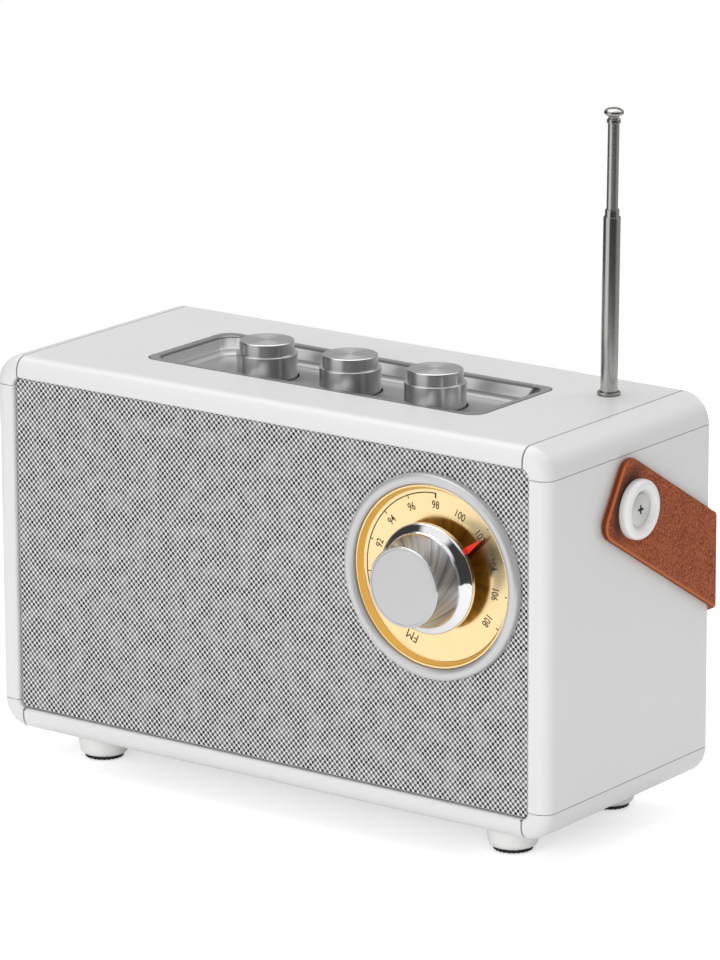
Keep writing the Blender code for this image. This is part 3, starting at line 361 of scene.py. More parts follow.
def rounded_profile(points, radii, segments=5):
    """The polyline with its inner corners rounded, all in millimetres. radii gives each corner's."""
    points = [Vector(point) for point in in_mm(points)]
    made = [points[0]]
    for before, corner, after, radius in zip(points, points[1:], points[2:], radii):
        back = before - corner
        on = after - corner
        reach = min(radius * MM, back.length * 0.49, on.length * 0.49)
        if reach < TINY:
            made.append(corner)
            continue
        start = corner + back.normalized() * reach
        end = corner + on.normalized() * reach
        for k in range(segments + 1):
            t = k / segments
            made.append(start * (1 - t) ** 2 + corner * 2 * t * (1 - t) + end * t**2)
    made.append(points[-1])
    return made


def shade(mesh, angle=SMOOTH_ANGLE):
    mesh.polygons.foreach_set("use_smooth", [True] * len(mesh.polygons))
    mesh.set_sharp_from_angle(angle=math.radians(angle))


def mesh_of(bm):
    bmesh.ops.recalc_face_normals(bm, faces=bm.faces)
    mesh = bpy.data.meshes.new("mesh")
    bm.to_mesh(mesh)
    bm.free()
    shade(mesh)
    return mesh


def turned_mesh(profile, steps=128, closed=False, ripple=None):
    """A profile of (radius, height) turned about Z. A ripple function scales the radius by angle."""
    bm = bmesh.new()
    rings = []
    for radius, height in profile:
        if radius < TINY:
            rings.append([bm.verts.new((0, 0, height))])
            continue
        ring = []
        for k in range(steps):
            turn = 2 * math.pi * k / steps
            reach = radius * ripple(turn) if ripple else radius
            ring.append(bm.verts.new((reach * math.cos(turn), reach * math.sin(turn), height)))
        rings.append(ring)
    pairs = list(zip(rings, rings[1:]))
    if closed:
        pairs.append((rings[-1], rings[0]))
    around = ((0, 0), (0, 1), (1, 1), (1, 0))
    for pair in pairs:
        for k in range(steps):
            quad = [pair[row][(k + step) % len(pair[row])] for row, step in around]
            face = list(dict.fromkeys(quad))
            if len(face) > 2:
                bm.faces.new(face)
    return mesh_of(bm)


def box_mesh(low, high):
    bm = bmesh.new()
    bmesh.ops.create_cube(bm, size=1)
    low, high = Vector(low), Vector(high)
    bmesh.ops.scale(bm, vec=high - low, verts=bm.verts)
    bmesh.ops.translate(bm, vec=(low + high) / 2, verts=bm.verts)
    return mesh_of(bm)


def rounded_outline(half_x, half_y, radius, segments=10):
    """Points round a rectangle with round corners, anticlockwise."""
    points = []
    for corner, (sx, sy) in enumerate(((1, 1), (-1, 1), (-1, -1), (1, -1))):
        for k in range(segments + 1):
            turn = math.pi / 2 * (corner + k / segments)
            x = sx * (half_x - radius) + radius * math.cos(turn)
            y = sy * (half_y - radius) + radius * math.sin(turn)
            points.append((x, y))
    return points


def lofted_mesh(rings):
    """Rings with equal point counts joined in order, and both ends closed with one face."""
    bm = bmesh.new()
    made = [[bm.verts.new(point) for point in ring] for ring in rings]
    for lower, upper in zip(made, made[1:]):
        count = len(lower)
        for k in range(count):
            bm.faces.new((lower[k], lower[(k + 1) % count], upper[(k + 1) % count], upper[k]))
    bm.faces.new(made[0][::-1])
    bm.faces.new(made[-1])
    return mesh_of(bm)


def prism_mesh(half_x, half_z, radius, path):
    """A rounded rectangle about the cabinet's middle, drawn along a path of (inset, y) to the front."""
    rings = []
    for inset, y in path:
        outline = rounded_outline(half_x - inset, half_z - inset, radius - inset)
        rings.append([(CENTRE.x + x, y, CENTRE.z + z) for x, z in outline])
    return lofted_mesh(rings)


def rounding(radius, y, steps=5):
    """(inset, y) pairs round a front rim. A negative radius flares it outward."""
    turns = [math.pi / 2 * k / steps for k in range(steps + 1)]
    return [(radius * (1 - math.cos(t)), y + abs(radius) * (1 - math.sin(t))) for t in turns]


def placed(name, data):
    thing = bpy.data.objects.new(name, data)
    bpy.context.scene.collection.objects.link(thing)
    return thing


def finished_mesh(thing):
    """A bare mesh of what the object shows. The object itself goes."""
    bpy.context.view_layer.update()
    mesh = bpy.data.meshes.new_from_object(thing.evaluated_get(bpy.context.evaluated_depsgraph_get()))
    bpy.data.objects.remove(thing, do_unlink=True)
    mesh.materials.clear()
    return mesh


def carve(base, steps, angle=SMOOTH_ANGLE):
    """A mesh after boolean steps of (operation, mesh)."""
    block = placed("block", base)
    tools = [placed("tool", mesh) for _, mesh in steps]
    for tool, (operation, _) in zip(tools, steps):
        modifier = block.modifiers.new("Carve", "BOOLEAN")
        modifier.operation = operation
        modifier.solver = "EXACT"
        modifier.object = tool
    result = finished_mesh(block)
    for tool in tools:
        bpy.data.objects.remove(tool, do_unlink=True)
    shade(result, angle)
    return result


def look_by_height(mesh, limits, indices):
    """Gives each face the look of its height band. The limits rise, and each band has an index."""
    for face in mesh.polygons:
        face.material_index = indices[bisect(limits, face.center.z)]


def dress(name, mesh, looks, node, matrix=None):
    """A piece that stands for a CAD node, on the node's body and with the given looks. The node is hidden."""
    piece = add_piece(name, mesh, looks, body_of[node], matrix)
    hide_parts(node)
    return piece


def add_piece(name, mesh, looks, body, matrix=None):
    for look in looks:
        mesh.materials.append(look)
    mesh.name = name
    piece = placed(name, mesh)
    if matrix is not None:
        piece.matrix_world = matrix
    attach(piece, body)
    return piece


def soften(piece, width):
    """Rounds a piece's sharp edges and keeps its flat faces flat."""
    if width:
        bevel = piece.modifiers.new("Soft edges", "BEVEL")
        bevel.width = width
        bevel.segments = 3
        bevel.limit_method = "ANGLE"
        bevel.angle_limit = math.radians(BEVEL_ANGLE)
        bevel.use_clamp_overlap = False
    normals = piece.modifiers.new("Flat faces stay flat", "WEIGHTED_NORMAL")
    normals.keep_sharp = True


def rod_mesh(matrix, radius, low, high, steps=96):
    mesh = turned_mesh([(0, high), (radius, high), (radius, low), (0, low)], steps)
    mesh.transform(matrix)
    return mesh


PIVOT = Vector((0, middle_of("strap_screw_right").y, middle_of("strap_screw_right").z))


def pivot_frame(sign, reach):
    """A frame on the strap's pivot line, that far out on a side, with Z pointing out of the side."""
    place = Vector((reach * sign, PIVOT.y, PIVOT.z))
    return Matrix.Translation(place) @ Matrix.Rotation(math.radians(90) * sign, 4, "Y")


def knob_frame(knob):
    place = middle_of(knob + "_knob")
    return Matrix.Translation((place.x, place.y, TOP))


paint = paint_look("white_paint", (0.83, 0.83, 0.828), (0.80, 0.80, 0.798), 0.3)
# Grey paint for the faces inside the seams: painted shade in the grooves between boards.
seam_painted_shade = paint_look("seam_painted_shade", (0.56, 0.56, 0.56), (0.50, 0.50, 0.50), 0.7)
weave = cloth_look()
chrome = polished_look("polished_chrome", (0.84, 0.84, 0.85), 0.05)
gold = polished_look("mirror_gold", (0.96, 0.735, 0.40), 0.17)
# A non-metal, deeper orange copy of the gold for the dish's inner wall: painted reflection of the gold.
gold_wall_painted_reflection = polished_look("gold_wall_painted_reflection", (1.0, 0.56, 0.12), 0.3, 0.0)
deep_gold = polished_look("deep_gold", (0.80, 0.50, 0.16), 0.2)
satin_ring = spun_look("satin_ring", (0.64, 0.64, 0.65), 0.34, 0.5, anisotropic=0.3)
satin_face = spun_look("satin_face", (0.63, 0.63, 0.635), 0.42, anisotropic=0.3, contrast=0.03)
# A darker, bluish copy of chrome with painted reflection streaks, and a gilt one as painted reflection of the
# gold dish.
knob_flank = streaked_look("chrome_painted_reflections", (0.50, 0.54, 0.60), 0.3)
knob_under = streaked_look("gilt_painted_reflection", (0.95, 0.62, 0.22), 0.5)
spun_top = spun_look("spun_aluminium", (0.72, 0.72, 0.725), 0.26)
turned_side = turned_look("turned_aluminium", (0.55, 0.55, 0.555), 0.3)
tray_metal = brushed_look("brushed_aluminium", (0.68, 0.68, 0.685), 0.26)
# The lip, floor and rolled edge get darker copies of the brushed aluminium: painted shade.
tray_lip = brushed_look("dulled_and_shaded_lip", (0.50, 0.50, 0.505), 0.3)
tray_floor = brushed_look("dulled_and_shaded_floor", (0.33, 0.33, 0.335), 0.42)
tray_edge = brushed_look("shaded_edge", (0.22, 0.22, 0.225), 0.3)
aerial_metal = turned_look("turned_steel", (0.50, 0.49, 0.475), 0.2, 1500, 0.3)
aerial_shine = polished_look("polished_steel", (0.40, 0.39, 0.375), 0.2)
steel = brushed_look("plain_steel", (0.5, 0.5, 0.51), 0.35, (900, 60, 900))
red = plastic_look("red_lacquer", (0.90, 0.035, 0.012), (0.80, 0.025, 0.01), 0.35, 1500, 0.004)
ink = plastic_look("brown_ink", (0.05, 0.032, 0.016), (0.03, 0.02, 0.01), 0.55)
leather = leather_look()
washer_white = plastic_look("washer_white", (0.94, 0.94, 0.935), (0.92, 0.92, 0.915), 0.32)
screw_nickel = spun_look("spun_nickel", (0.60, 0.59, 0.565), 0.3, anisotropic=0.6)
foot_white = plastic_look("foot_white", (0.96, 0.96, 0.94), (0.94, 0.94, 0.92), 0.4)
rubber = plastic_look("dark_rubber", (0.022, 0.03, 0.026), (0.012, 0.018, 0.016), 0.75, 1600, 0.05)
black_plastic = plastic_look("black_plastic", (0.03, 0.03, 0.031), (0.022, 0.022, 0.023), 0.5, 1300, 0.06)
fibreboard = plastic_look("fibreboard", (0.36, 0.25, 0.16), (0.28, 0.19, 0.12), 0.8, 1200, 0.08)
paper = plastic_look("cone_paper", (0.11, 0.10, 0.09), (0.07, 0.065, 0.06), 0.9, 800, 0.1)
ferrite = plastic_look("ferrite", (0.10, 0.10, 0.11), (0.07, 0.07, 0.075), 0.6, 700, 0.05)
battery_wrap = plastic_look("battery_wrap", (0.06, 0.13, 0.38), (0.05, 0.10, 0.31), 0.35)
circuit = board_look()


def case_form():
    bm = bmesh.new()
    bmesh.ops.create_cube(bm, size=1)
    bmesh.ops.scale(bm, vec=CASE_SIZE, verts=bm.verts)
    along = [e for e in bm.edges if abs(e.verts[0].co.y - e.verts[1].co.y) > CASE_SIZE.y / 2]
    bmesh.ops.bevel(bm, geom=along, offset=CORNER_RADIUS, segments=14, profile=0.5, affect="EDGES")
    for sign, radius, segments in ((-1, FRONT_ROUND, 10), (1, BACK_ROUND, 4)):
        end = sign * CASE_SIZE.y / 2
        rim = [e for e in bm.edges if all(abs(v.co.y - end) < 0.01 * MM for v in e.verts)]
        bmesh.ops.bevel(bm, geom=rim, offset=radius, segments=segments, profile=0.5, affect="EDGES")
    bmesh.ops.translate(bm, vec=CENTRE, verts=bm.verts)
    return mesh_of(bm)


TRAY_CENTRE = middle_of("control_tray")
TRAY_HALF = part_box("control_tray")[1] - TRAY_CENTRE
TRAY_CORNER = 5.5 * MM
TRAY_WALL_CORNER = 6 * MM
TRAY_SKIN = 1 * MM
TRAY_INSET = 2 * MM
AERIAL_LEAN = math.radians(0.8)
AERIAL_BASE = Vector((91.7 * MM, 35.1 * MM, TOP))
AERIAL_FRAME = Matrix.Translation(AERIAL_BASE) @ Matrix.Rotation(AERIAL_LEAN, 4, "Y")
AERIAL_HOLE = 3.8 * MM
PAST = 5 * MM


def tray_block(margin, radius, low, high):
    outline = rounded_outline(TRAY_HALF.x + margin, TRAY_HALF.y + margin, radius)
    rings = [[(TRAY_CENTRE.x + x, TRAY_CENTRE.y + y, z) for x, y in outline] for z in (low, high)]
    return lofted_mesh(rings)


def top_cuts():
    """Cuts in the top board for the tray and the aerial."""
    lip = tray_block(FIT, TRAY_CORNER + FIT, TOP - TRAY_SKIN - FIT, TOP + PAST)
    corner = TRAY_WALL_CORNER + TRAY_SKIN + FIT
    tub = tray_block(FIT - TRAY_INSET, corner, TOP - WALL - PAST, TOP)
    aerial = rod_mesh(AERIAL_FRAME, AERIAL_HOLE, -30 * MM, 10 * MM)
    return [lip, tub, aerial]


def side_cuts(side, sign):
    """Cuts in a side board for the strap's screw and the rear panel's screws."""
    cuts = [rod_mesh(pivot_frame(sign, RIGHT), STRAP_HOLE, -20 * MM, 10 * MM, 48)]
    for level in ("lower", "upper"):
        low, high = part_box(f"rear_screw_{level}_{side}")
        seat = Vector(((low.x + high.x) / 2, high.y, (low.z + high.z) / 2))
        back_frame = Matrix.Translation(seat) @ Matrix.Rotation(math.radians(-90), 4, "X")
        cuts.append(rod_mesh(back_frame, REAR_SEAT_RADIUS, -REAR_SEAT_DEPTH, 2 * MM, 32))
        cuts.append(rod_mesh(back_frame, REAR_HOLE_RADIUS, -REAR_HOLE_DEPTH, 2 * MM, 32))
    return cuts


def make_cabinet():
    """Four boards and four corner mouldings, as the solids have them, with softer edges."""
    form = case_form()
    half_x, half_z = CASE_SIZE.x / 2 - WALL, CASE_SIZE.z / 2 - RAIL
    mouth = rounding(-OPENING_SOFT, FRONT)
    opening_path = [(0, BACK + PAST), *mouth, (-OPENING_SOFT, FRONT - PAST)]
    opening = prism_mesh(half_x, half_z, OPENING_RADIUS, opening_path)
    rebate_path = [(0, BACK + PAST), (0, BACK - REAR_PANEL_DEPTH - FIT)]
    rebate_radius = OPENING_RADIUS + REAR_LEDGE
    rebate = prism_mesh(half_x + REAR_LEDGE, half_z + REAR_LEDGE, rebate_radius, rebate_path)
    gap, side_gap = TOP_SEAM_GAP / 2, SIDE_SEAM_GAP / 2
    inner_left, inner_right = LEFT + CORNER_RADIUS, RIGHT - CORNER_RADIUS
    inner_low, inner_high = BOTTOM + CORNER_RADIUS, TOP - CORNER_RADIUS
    spans = {
        "top_board": (inner_left + gap, TOP - RAIL - PAST, inner_right - gap, TOP + PAST),
        "bottom_board": (inner_left + gap, BOTTOM - PAST, inner_right - gap, BOTTOM + RAIL + PAST),
        "left_board": (LEFT - PAST, inner_low + side_gap, LEFT + WALL + PAST, inner_high - side_gap),
        "right_board": (RIGHT - WALL - PAST, inner_low + side_gap, RIGHT + PAST, inner_high - side_gap),
        "corner_top_left": (LEFT - PAST, inner_high + side_gap, inner_left - gap, TOP + PAST),
        "corner_top_right": (inner_right + gap, inner_high + side_gap, RIGHT + PAST, TOP + PAST),
        "corner_bottom_left": (LEFT - PAST, BOTTOM - PAST, inner_left - gap, inner_low - side_gap),
        "corner_bottom_right": (inner_right + gap, BOTTOM - PAST, RIGHT + PAST, inner_low - side_gap),
    }
    for node, (x_low, z_low, x_high, z_high) in spans.items():
        block = box_mesh((x_low, FRONT - PAST, z_low), (x_high, BACK + PAST, z_high))
        cuts = [opening, rebate]
        if node == "top_board":
            cuts += top_cuts()
        if node in ("left_board", "right_board"):
            cuts += side_cuts(node.split("_")[0], -1 if node == "left_board" else 1)
        steps = [("INTERSECT", form)] + [("DIFFERENCE", cut) for cut in cuts]
        board = carve(block, steps)
        # Faces inside the seams take the grey paint, as painted shade.
        for face in board.polygons:
            from_seam_x = min(abs(face.center.x - x) for x in (inner_left, inner_right))
            from_seam_z = min(abs(face.center.z - z) for z in (inner_low, inner_high))
            on_x = abs(face.normal.x) > 0.99 and from_seam_x < TOP_SEAM_GAP
            on_z = abs(face.normal.z) > 0.99 and from_seam_z < SIDE_SEAM_GAP
            face.material_index = 1 if on_x or on_z else 0
        soften(dress(node + "_painted", board, [paint, seam_painted_shade], node), EDGE_SOFT)


DIAL_CENTRE = Vector((middle_of("dial_bezel").x, FRONT, middle_of("dial_bezel").z))
DIAL_FRAME = Matrix.Translation(DIAL_CENTRE) @ Matrix.Rotation(math.radians(90), 4, "X")
DIAL_HOLE = 33.9 * MM
DISH_DEPTH = 2.5 * MM
CLOTH_ROUND = 0.45 * MM


def make_cloth():
    low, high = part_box("grille_cloth")
    half_x, half_z = (high.x - low.x) / 2, (high.z - low.z) / 2
    path = [(0, high.y), *rounding(CLOTH_ROUND, low.y, 4)]
    sheet = prism_mesh(half_x, half_z, OPENING_RADIUS - FIT, path)
    hole = rod_mesh(DIAL_FRAME, DIAL_HOLE, -20 * MM, 20 * MM, 128)
    cloth = dress("grille_weave", carve(sheet, [("DIFFERENCE", hole)]), [weave], "grille_cloth")
    soften(cloth, 0)


def make_dial():
    """Bezel, dish and its printed scale. Heights run out of the front from the cabinet's front plane."""
    middle, half, rise, fullness, steps = 34.2, 2.0, 1.8, 0.8, 24
    crown = []
    for k in range(steps + 1):
        turn = math.pi * k / steps
        crown.append((middle - half * math.cos(turn), rise * math.sin(turn) ** fullness))
    bezel = in_mm(crown + [(36.2, -1.4), (33.6, -1.4), (33.6, -8.9), (32.2, -8.9)])
    dress("bezel_ring", turned_mesh(bezel, 192, closed=True), [satin_ring], "dial_bezel", DIAL_FRAME)
    corners = [
        (31.4, 0), (31.95, 0), (31.95, -3.7), (3.3, -3.7), (3.3, -2.5), (30.1, -2.5), (30.9, -1.1), (31.4, 0),
    ]
    dish = rounded_profile(corners, [0, 0, 0, 0, 0.3, 0.5])
    mesh = turned_mesh(dish[:-1], 192, closed=True)
    # The inner wall takes the painted reflection colour.
    for face in mesh.polygons:
        inner_wall = abs(face.normal.z) < 0.6 and face.center.to_2d().length < 31.5 * MM
        face.material_index = 1 if inner_wall else 0
    dress("gold_dish", mesh, [gold, gold_wall_painted_reflection], "dial_dish", DIAL_FRAME)
    make_scale()


def dial_place(radius, degrees, height):
    """A frame on the dial at a clockwise angle from the top, with Y outward."""
    turn = Matrix.Rotation(-math.radians(degrees), 4, "Z")
    return DIAL_FRAME @ turn @ Matrix.Translation((0, radius, height))


POINTER_DEGREES = 52
PRINT_THICKNESS = 0.03 * MM
PRINT_LIFT = 0.005 * MM
SCALE_RADIUS = 29 * MM
SCALE_LINE = 0.4 * MM
LINE_SPAN = math.radians(124)
LINE_STEPS = 96
NUMBER_RADIUS = 24.6 * MM
NUMBER_HEIGHT = 2.85 * MM
NUMBER_START = -120
NUMBER_STEP = 24
BAND_RADIUS = 25 * MM
CAPITAL_SHARE = 0.72


def word_mesh(text, height, squeeze, bold):
    """The word as a thin mesh about its own middle, with capitals of that height."""
    curve = bpy.data.curves.new("word", "FONT")
    curve.body = text
    curve.align_x = "CENTER"
    curve.align_y = "CENTER"
    curve.size = height / CAPITAL_SHARE
    curve.extrude = PRINT_THICKNESS / 2
    curve.offset = bold
    curve.resolution_u = 4
    mesh = finished_mesh(placed("word", curve))
    mesh.transform(Matrix.Diagonal((squeeze, 1, 1, 1)))
    return mesh


def add_print(name, mesh, matrix):
    add_piece(name, mesh, [ink], "cabinet", matrix)


def make_tick(number, degrees, height):
    """Inside the scale line up to 98, and short ones near the dish's wall from 102 on."""
    width, inner, outer = 0.34 * MM, SCALE_RADIUS - 1.5 * MM, SCALE_RADIUS
    if number == 98:
        width, inner = 0.6 * MM, SCALE_RADIUS - 2 * MM
    if number > 98:
        width, inner, outer = 0.4 * MM, SCALE_RADIUS - 0.1 * MM, SCALE_RADIUS + 0.9 * MM
    half = Vector((width, outer - inner, PRINT_THICKNESS)) / 2
    add_print(f"tick_{number}", box_mesh(-half, half), dial_place((inner + outer) / 2, degrees, height))


def make_scale():
    """Numbers, ticks and the scale line, printed on the dish's floor."""
    height = PRINT_THICKNESS / 2 + PRINT_LIFT - DISH_DEPTH
    for index, number in enumerate(range(88, 110, 2)):
        degrees = NUMBER_START + NUMBER_STEP * index
        mesh = word_mesh(str(number), NUMBER_HEIGHT, 0.8, 0.03 * MM)
        add_print(f"number_{number}", mesh, dial_place(NUMBER_RADIUS, degrees, height))
        if number != 100:
            make_tick(number, degrees, height)
    for word, degrees, size in (("FM", -157, 3.4 * MM), ("MHz", -128, 2.8 * MM)):
        mesh = word_mesh(word, size, 0.9, 0.0)
        add_print("band_" + word, mesh, dial_place(BAND_RADIUS, degrees, height))
    make_scale_line(height)


def make_scale_line(height):
    """A printed line that runs from 98 back past 88."""
    low, high = height - PRINT_THICKNESS / 2, height + PRINT_THICKNESS / 2
    outer, inner = SCALE_RADIUS, SCALE_RADIUS - SCALE_LINE
    rings = []
    for k in range(LINE_STEPS + 1):
        turn = math.pi / 2 + LINE_SPAN * k / LINE_STEPS
        section = ((outer, high), (outer, low), (inner, low), (inner, high))
        rings.append([(radius * math.cos(turn), radius * math.sin(turn), z) for radius, z in section])
    add_print("scale_line", lofted_mesh(rings), DIAL_FRAME)


def make_tuning():
    """A chromed knob that flares to its flange, with a satin disc let into its face."""
    corners = [
        (0, 15.2), (13.1, 15.2), (13.1, 16.45), (14.05, 16.45), (14.5, 12.5), (15.1, 9.5), (15.9, 6.8),
        (16.5, 5.3), (19.0, 3.75), (19.4, 3.2), (19.4, 1.6), (8, 1.6), (8, -1.9), (3.3, -1.9), (3.3, 11.2),
        (0, 11.2),
    ]
    radii = [0, 0, 0.9, 2, 2, 1, 0.7, 0.5, 0.3, 0.3, 0, 0, 0, 0]
    knob = turned_mesh(rounded_profile(corners, radii, 8), 160)
    under, flange_top, shoulder, brow = 1.61 * MM, 6.6 * MM, 15.6 * MM, 16.25 * MM
    # The flank has painted reflection streaks; the flange's underside is painted gilt, as the gold dish's
    # reflection.
    look_by_height(knob, [under, flange_top, shoulder, brow], [3, 0, 1, 0, 2])
    knob_looks = [chrome, knob_flank, satin_face, knob_under]
    dress("tuning_knob_chrome", knob, knob_looks, "tuning_knob", DIAL_FRAME)
    face = [(0, 16.45), (12.8, 16.44), (13.08, 16.38), (13.08, 15.5), (0, 15.5)]
    cap = turned_mesh(rounded_profile(face, [2, 0.1, 0.05], 6), 160)
    dress("tuning_face", cap, [satin_face], "tuning_knob_cap", DIAL_FRAME)
    make_pointer()


def make_pointer():
    """A red needle with a raised spine, on a gilt ring."""
    low, high = 0.3 * MM, 1.3 * MM
    bore, outer, reach = 8.3 * MM, 11 * MM, 26.2 * MM
    base, tip = 4.6 * MM, 0.5 * MM
    ring = turned_mesh([(bore, high), (outer, high), (outer, low), (bore, low)], 96, closed=True)
    root, edge_top, tip_top = outer - 0.6 * MM, high - 0.35 * MM, high - 0.2 * MM
    rings = []
    for y, half, crest in ((root, base / 2, high), (reach, tip / 2, tip_top)):
        section = ((-half, low), (half, low), (half, edge_top), (0, crest), (-half, edge_top))
        rings.append([(x, y, z) for x, z in section])
    pointer = carve(lofted_mesh(rings), [("UNION", ring)], NEEDLE_ANGLE)
    for face in pointer.polygons:
        gilt = face.center.to_2d().length < outer + 0.1 * MM or face.normal.z < -0.5
        face.material_index = 1 if gilt else 0
    dress("red_pointer", pointer, [red, deep_gold], "dial_pointer", dial_place(0, POINTER_DEGREES, 0))


def make_tray():
    """Pressed tray: flat lip, rolled edge, sloping wall, flat floor with three holes."""
    path = [
        (2.0, -7.1, 7.0), (2.0, -1.0, 7.0), (0.0, -1.0, 5.5), (0.0, -0.3, 5.5), (0.1, -0.08, 5.4),
        (0.35, 0.0, 5.2), (2.5, 0.0, 5.8), (2.85, -0.1, 6.0), (3.05, -0.35, 6.0), (3.2, -0.8, 6.0),
        (4.2, -3.0, 6.0), (4.9, -4.3, 6.0), (5.5, -5.2, 5.8), (6.2, -5.8, 5.4), (7.0, -6.1, 5.0),
    ]
    rings = []
    for inset, depth, radius in path:
        outline = rounded_outline(TRAY_HALF.x - inset * MM, TRAY_HALF.y - inset * MM, radius * MM, 14)
        rings.append([(TRAY_CENTRE.x + x, TRAY_CENTRE.y + y, TOP + depth * MM) for x, y in outline])
    holes = [("DIFFERENCE", rod_mesh(knob_frame(knob), KNOB_HOLE, -12 * MM, -2 * MM)) for knob in KNOBS]
    tray = carve(lofted_mesh(rings), holes)
    # Darker aluminium on the floor, rolled edge and lip is painted shade.
    floor_high, edge_low, lip_low = TOP - 4.5 * MM, TOP - 0.7 * MM, TOP - 0.01 * MM
    look_by_height(tray, [floor_high, edge_low, lip_low], [2, 0, 3, 1])
    tray_looks = [tray_metal, tray_lip, tray_floor, tray_edge]
    soften(dress("pressed_tray", tray, tray_looks, "control_tray"), 0)


def make_knobs():
    corners = [(0, 7), (9.75, 7), (9.75, 2.5), (10.9, 2.5), (10.9, -7.7), (3.3, -7.7), (3.3, 4), (0, 4)]
    profile = rounded_profile(corners, [0.55, 0.12, 0.35, 0.2, 0, 0], 6)
    for knob in KNOBS:
        mesh = turned_mesh(profile)
        for face in mesh.polygons:
            face.material_index = 0 if face.normal.z > 0.75 else 1
        dress(knob + "_knob_turned", mesh, [spun_top, turned_side], knob + "_knob", knob_frame(knob))


def make_aerial():
    """Heights run up the leaning axis from the cabinet's top."""
    collar = [(3.2, 1.1), (4.1, 1.1), (4.1, 0.3), (3.5, 0.3), (3.5, -8.2), (3.2, -8.2)]
    mesh = turned_mesh(rounded_profile(collar, [0.35, 0.1, 0, 0]), 64, closed=True)
    dress("aerial_collar_turned", mesh, [aerial_shine], "aerial_collar", AERIAL_FRAME)
    tubes = [("aerial_lower", 3.0, 2.7, -17.2, 62.8), ("aerial_middle", 2.5, 2.2, -14.7, 65.3)]
    for node, radius, bore, low, high in tubes:
        points = [(bore, high), (radius, high), (radius, low), (bore, low)]
        mesh = turned_mesh(rounded_profile(points, [0.25, 0.05]), 64, closed=True)
        dress(node + "_turned", mesh, [aerial_metal], node, AERIAL_FRAME)
    low, rod_top, tip_low = 15.5, 95.5, 96.7
    tip = [(0, 4.1), (2.2, 3.95), (3.5, 2.9), (3.3, 1.7), (2.0, 1.2), (1.8, 0.6), (2.4, 0)]
    corners = [(radius, tip_low + height) for radius, height in tip]
    corners += [(2.4, rod_top), (2.0, rod_top), (2.0, low), (0, low)]
    radii = [1.2, 1.0, 0.6, 0.4, 0.3, 0.3, 0.15, 0.05, 0]
    mesh = turned_mesh(rounded_profile(corners, radii, 6), 64)
    look_by_height(mesh, [rod_top * MM], [0, 1])
    dress("aerial_upper_turned", mesh, [aerial_metal, aerial_shine], "aerial_upper", AERIAL_FRAME)


# Strap sizes, as in the solids
STRAP_WIDTH = 29.8 * MM
STRAP_THICKNESS = 2.6 * MM
STRAP_SLOPE = math.radians(30.8)
STRAP_END = 15.2 * MM
STRAP_END_RADIUS = 6 * MM
STRAP_BEND = 1.2 * MM
WASHER_RADIUS = 10.5 * MM
BEND_RADIUS = STRAP_BEND + STRAP_THICKNESS / 2
BEND_X = RIGHT + FIT - STRAP_BEND
BEND_Y = BACK + FIT - STRAP_BEND
TO_BEND = BEND_Y - PIVOT.y
BEND_LENGTH = math.pi / 2 * BEND_RADIUS
TO_MIDDLE = TO_BEND + BEND_LENGTH + BEND_X

# Its rounded edges, the press round its washers, and the reach of the painted shadow beside them
STRAP_CORNER = 0.9 * MM
WASHER_PRESS = 0.7 * MM
PRESS_REACH = 3.4 * MM
SHADOW_REACH = 6.4 * MM


def strap_line(along):
    """Height of the strap's middle line, its slant and its upright half width's divisor."""
    fall = math.tan(STRAP_SLOPE)
    if along < TO_BEND:
        slant = STRAP_SLOPE * min(1, (TO_BEND - along) / TO_BEND)
        return -fall * along, slant, math.cos(STRAP_SLOPE - slant)
    past = along - TO_BEND
    span = TO_MIDDLE - TO_BEND
    height = -fall * TO_BEND - fall * (past - past**2 / (2 * span))
    return height, 0, math.cos(math.atan(fall * (1 - past / span)))


def strap_spot(along, height):
    """A place on the strap's middle surface and the way out of it."""
    past = along - TO_BEND
    if past <= 0:
        return Vector((BEND_X + BEND_RADIUS, BEND_Y + past, PIVOT.z + height)), Vector((1, 0, 0))
    if past < BEND_LENGTH:
        turn = past / BEND_RADIUS
        out = Vector((math.cos(turn), math.sin(turn), 0))
        return Vector((BEND_X, BEND_Y, PIVOT.z + height)) + out * BEND_RADIUS, out
    return Vector((BEND_X - (past - BEND_LENGTH), BEND_Y + BEND_RADIUS, PIVOT.z + height)), Vector((0, 1, 0))


def strap_stations():
    """Distances behind the pivot of the strap's columns, close together at the end and the bend."""
    level = math.cos(STRAP_SLOPE)
    from_end = [0, 0.1, 0.3, 0.7, 1.1, 1.6, 2.2, 2.8, 3.4, 4.0, 4.6, 5.2, 6.0]
    stations = [(d * MM - STRAP_END) * level for d in from_end]
    for low, high, count in (
        (stations[-1], TO_BEND, 36),
        (TO_BEND, TO_BEND + BEND_LENGTH, 10),
        (TO_BEND + BEND_LENGTH, TO_MIDDLE, 44),
    ):
        stations += [low + (high - low) * k / count for k in range(1, count + 1)]
    return stations


def smooth_step(value):
    value = max(0, min(1, value))
    return value * value * (3 - 2 * value)


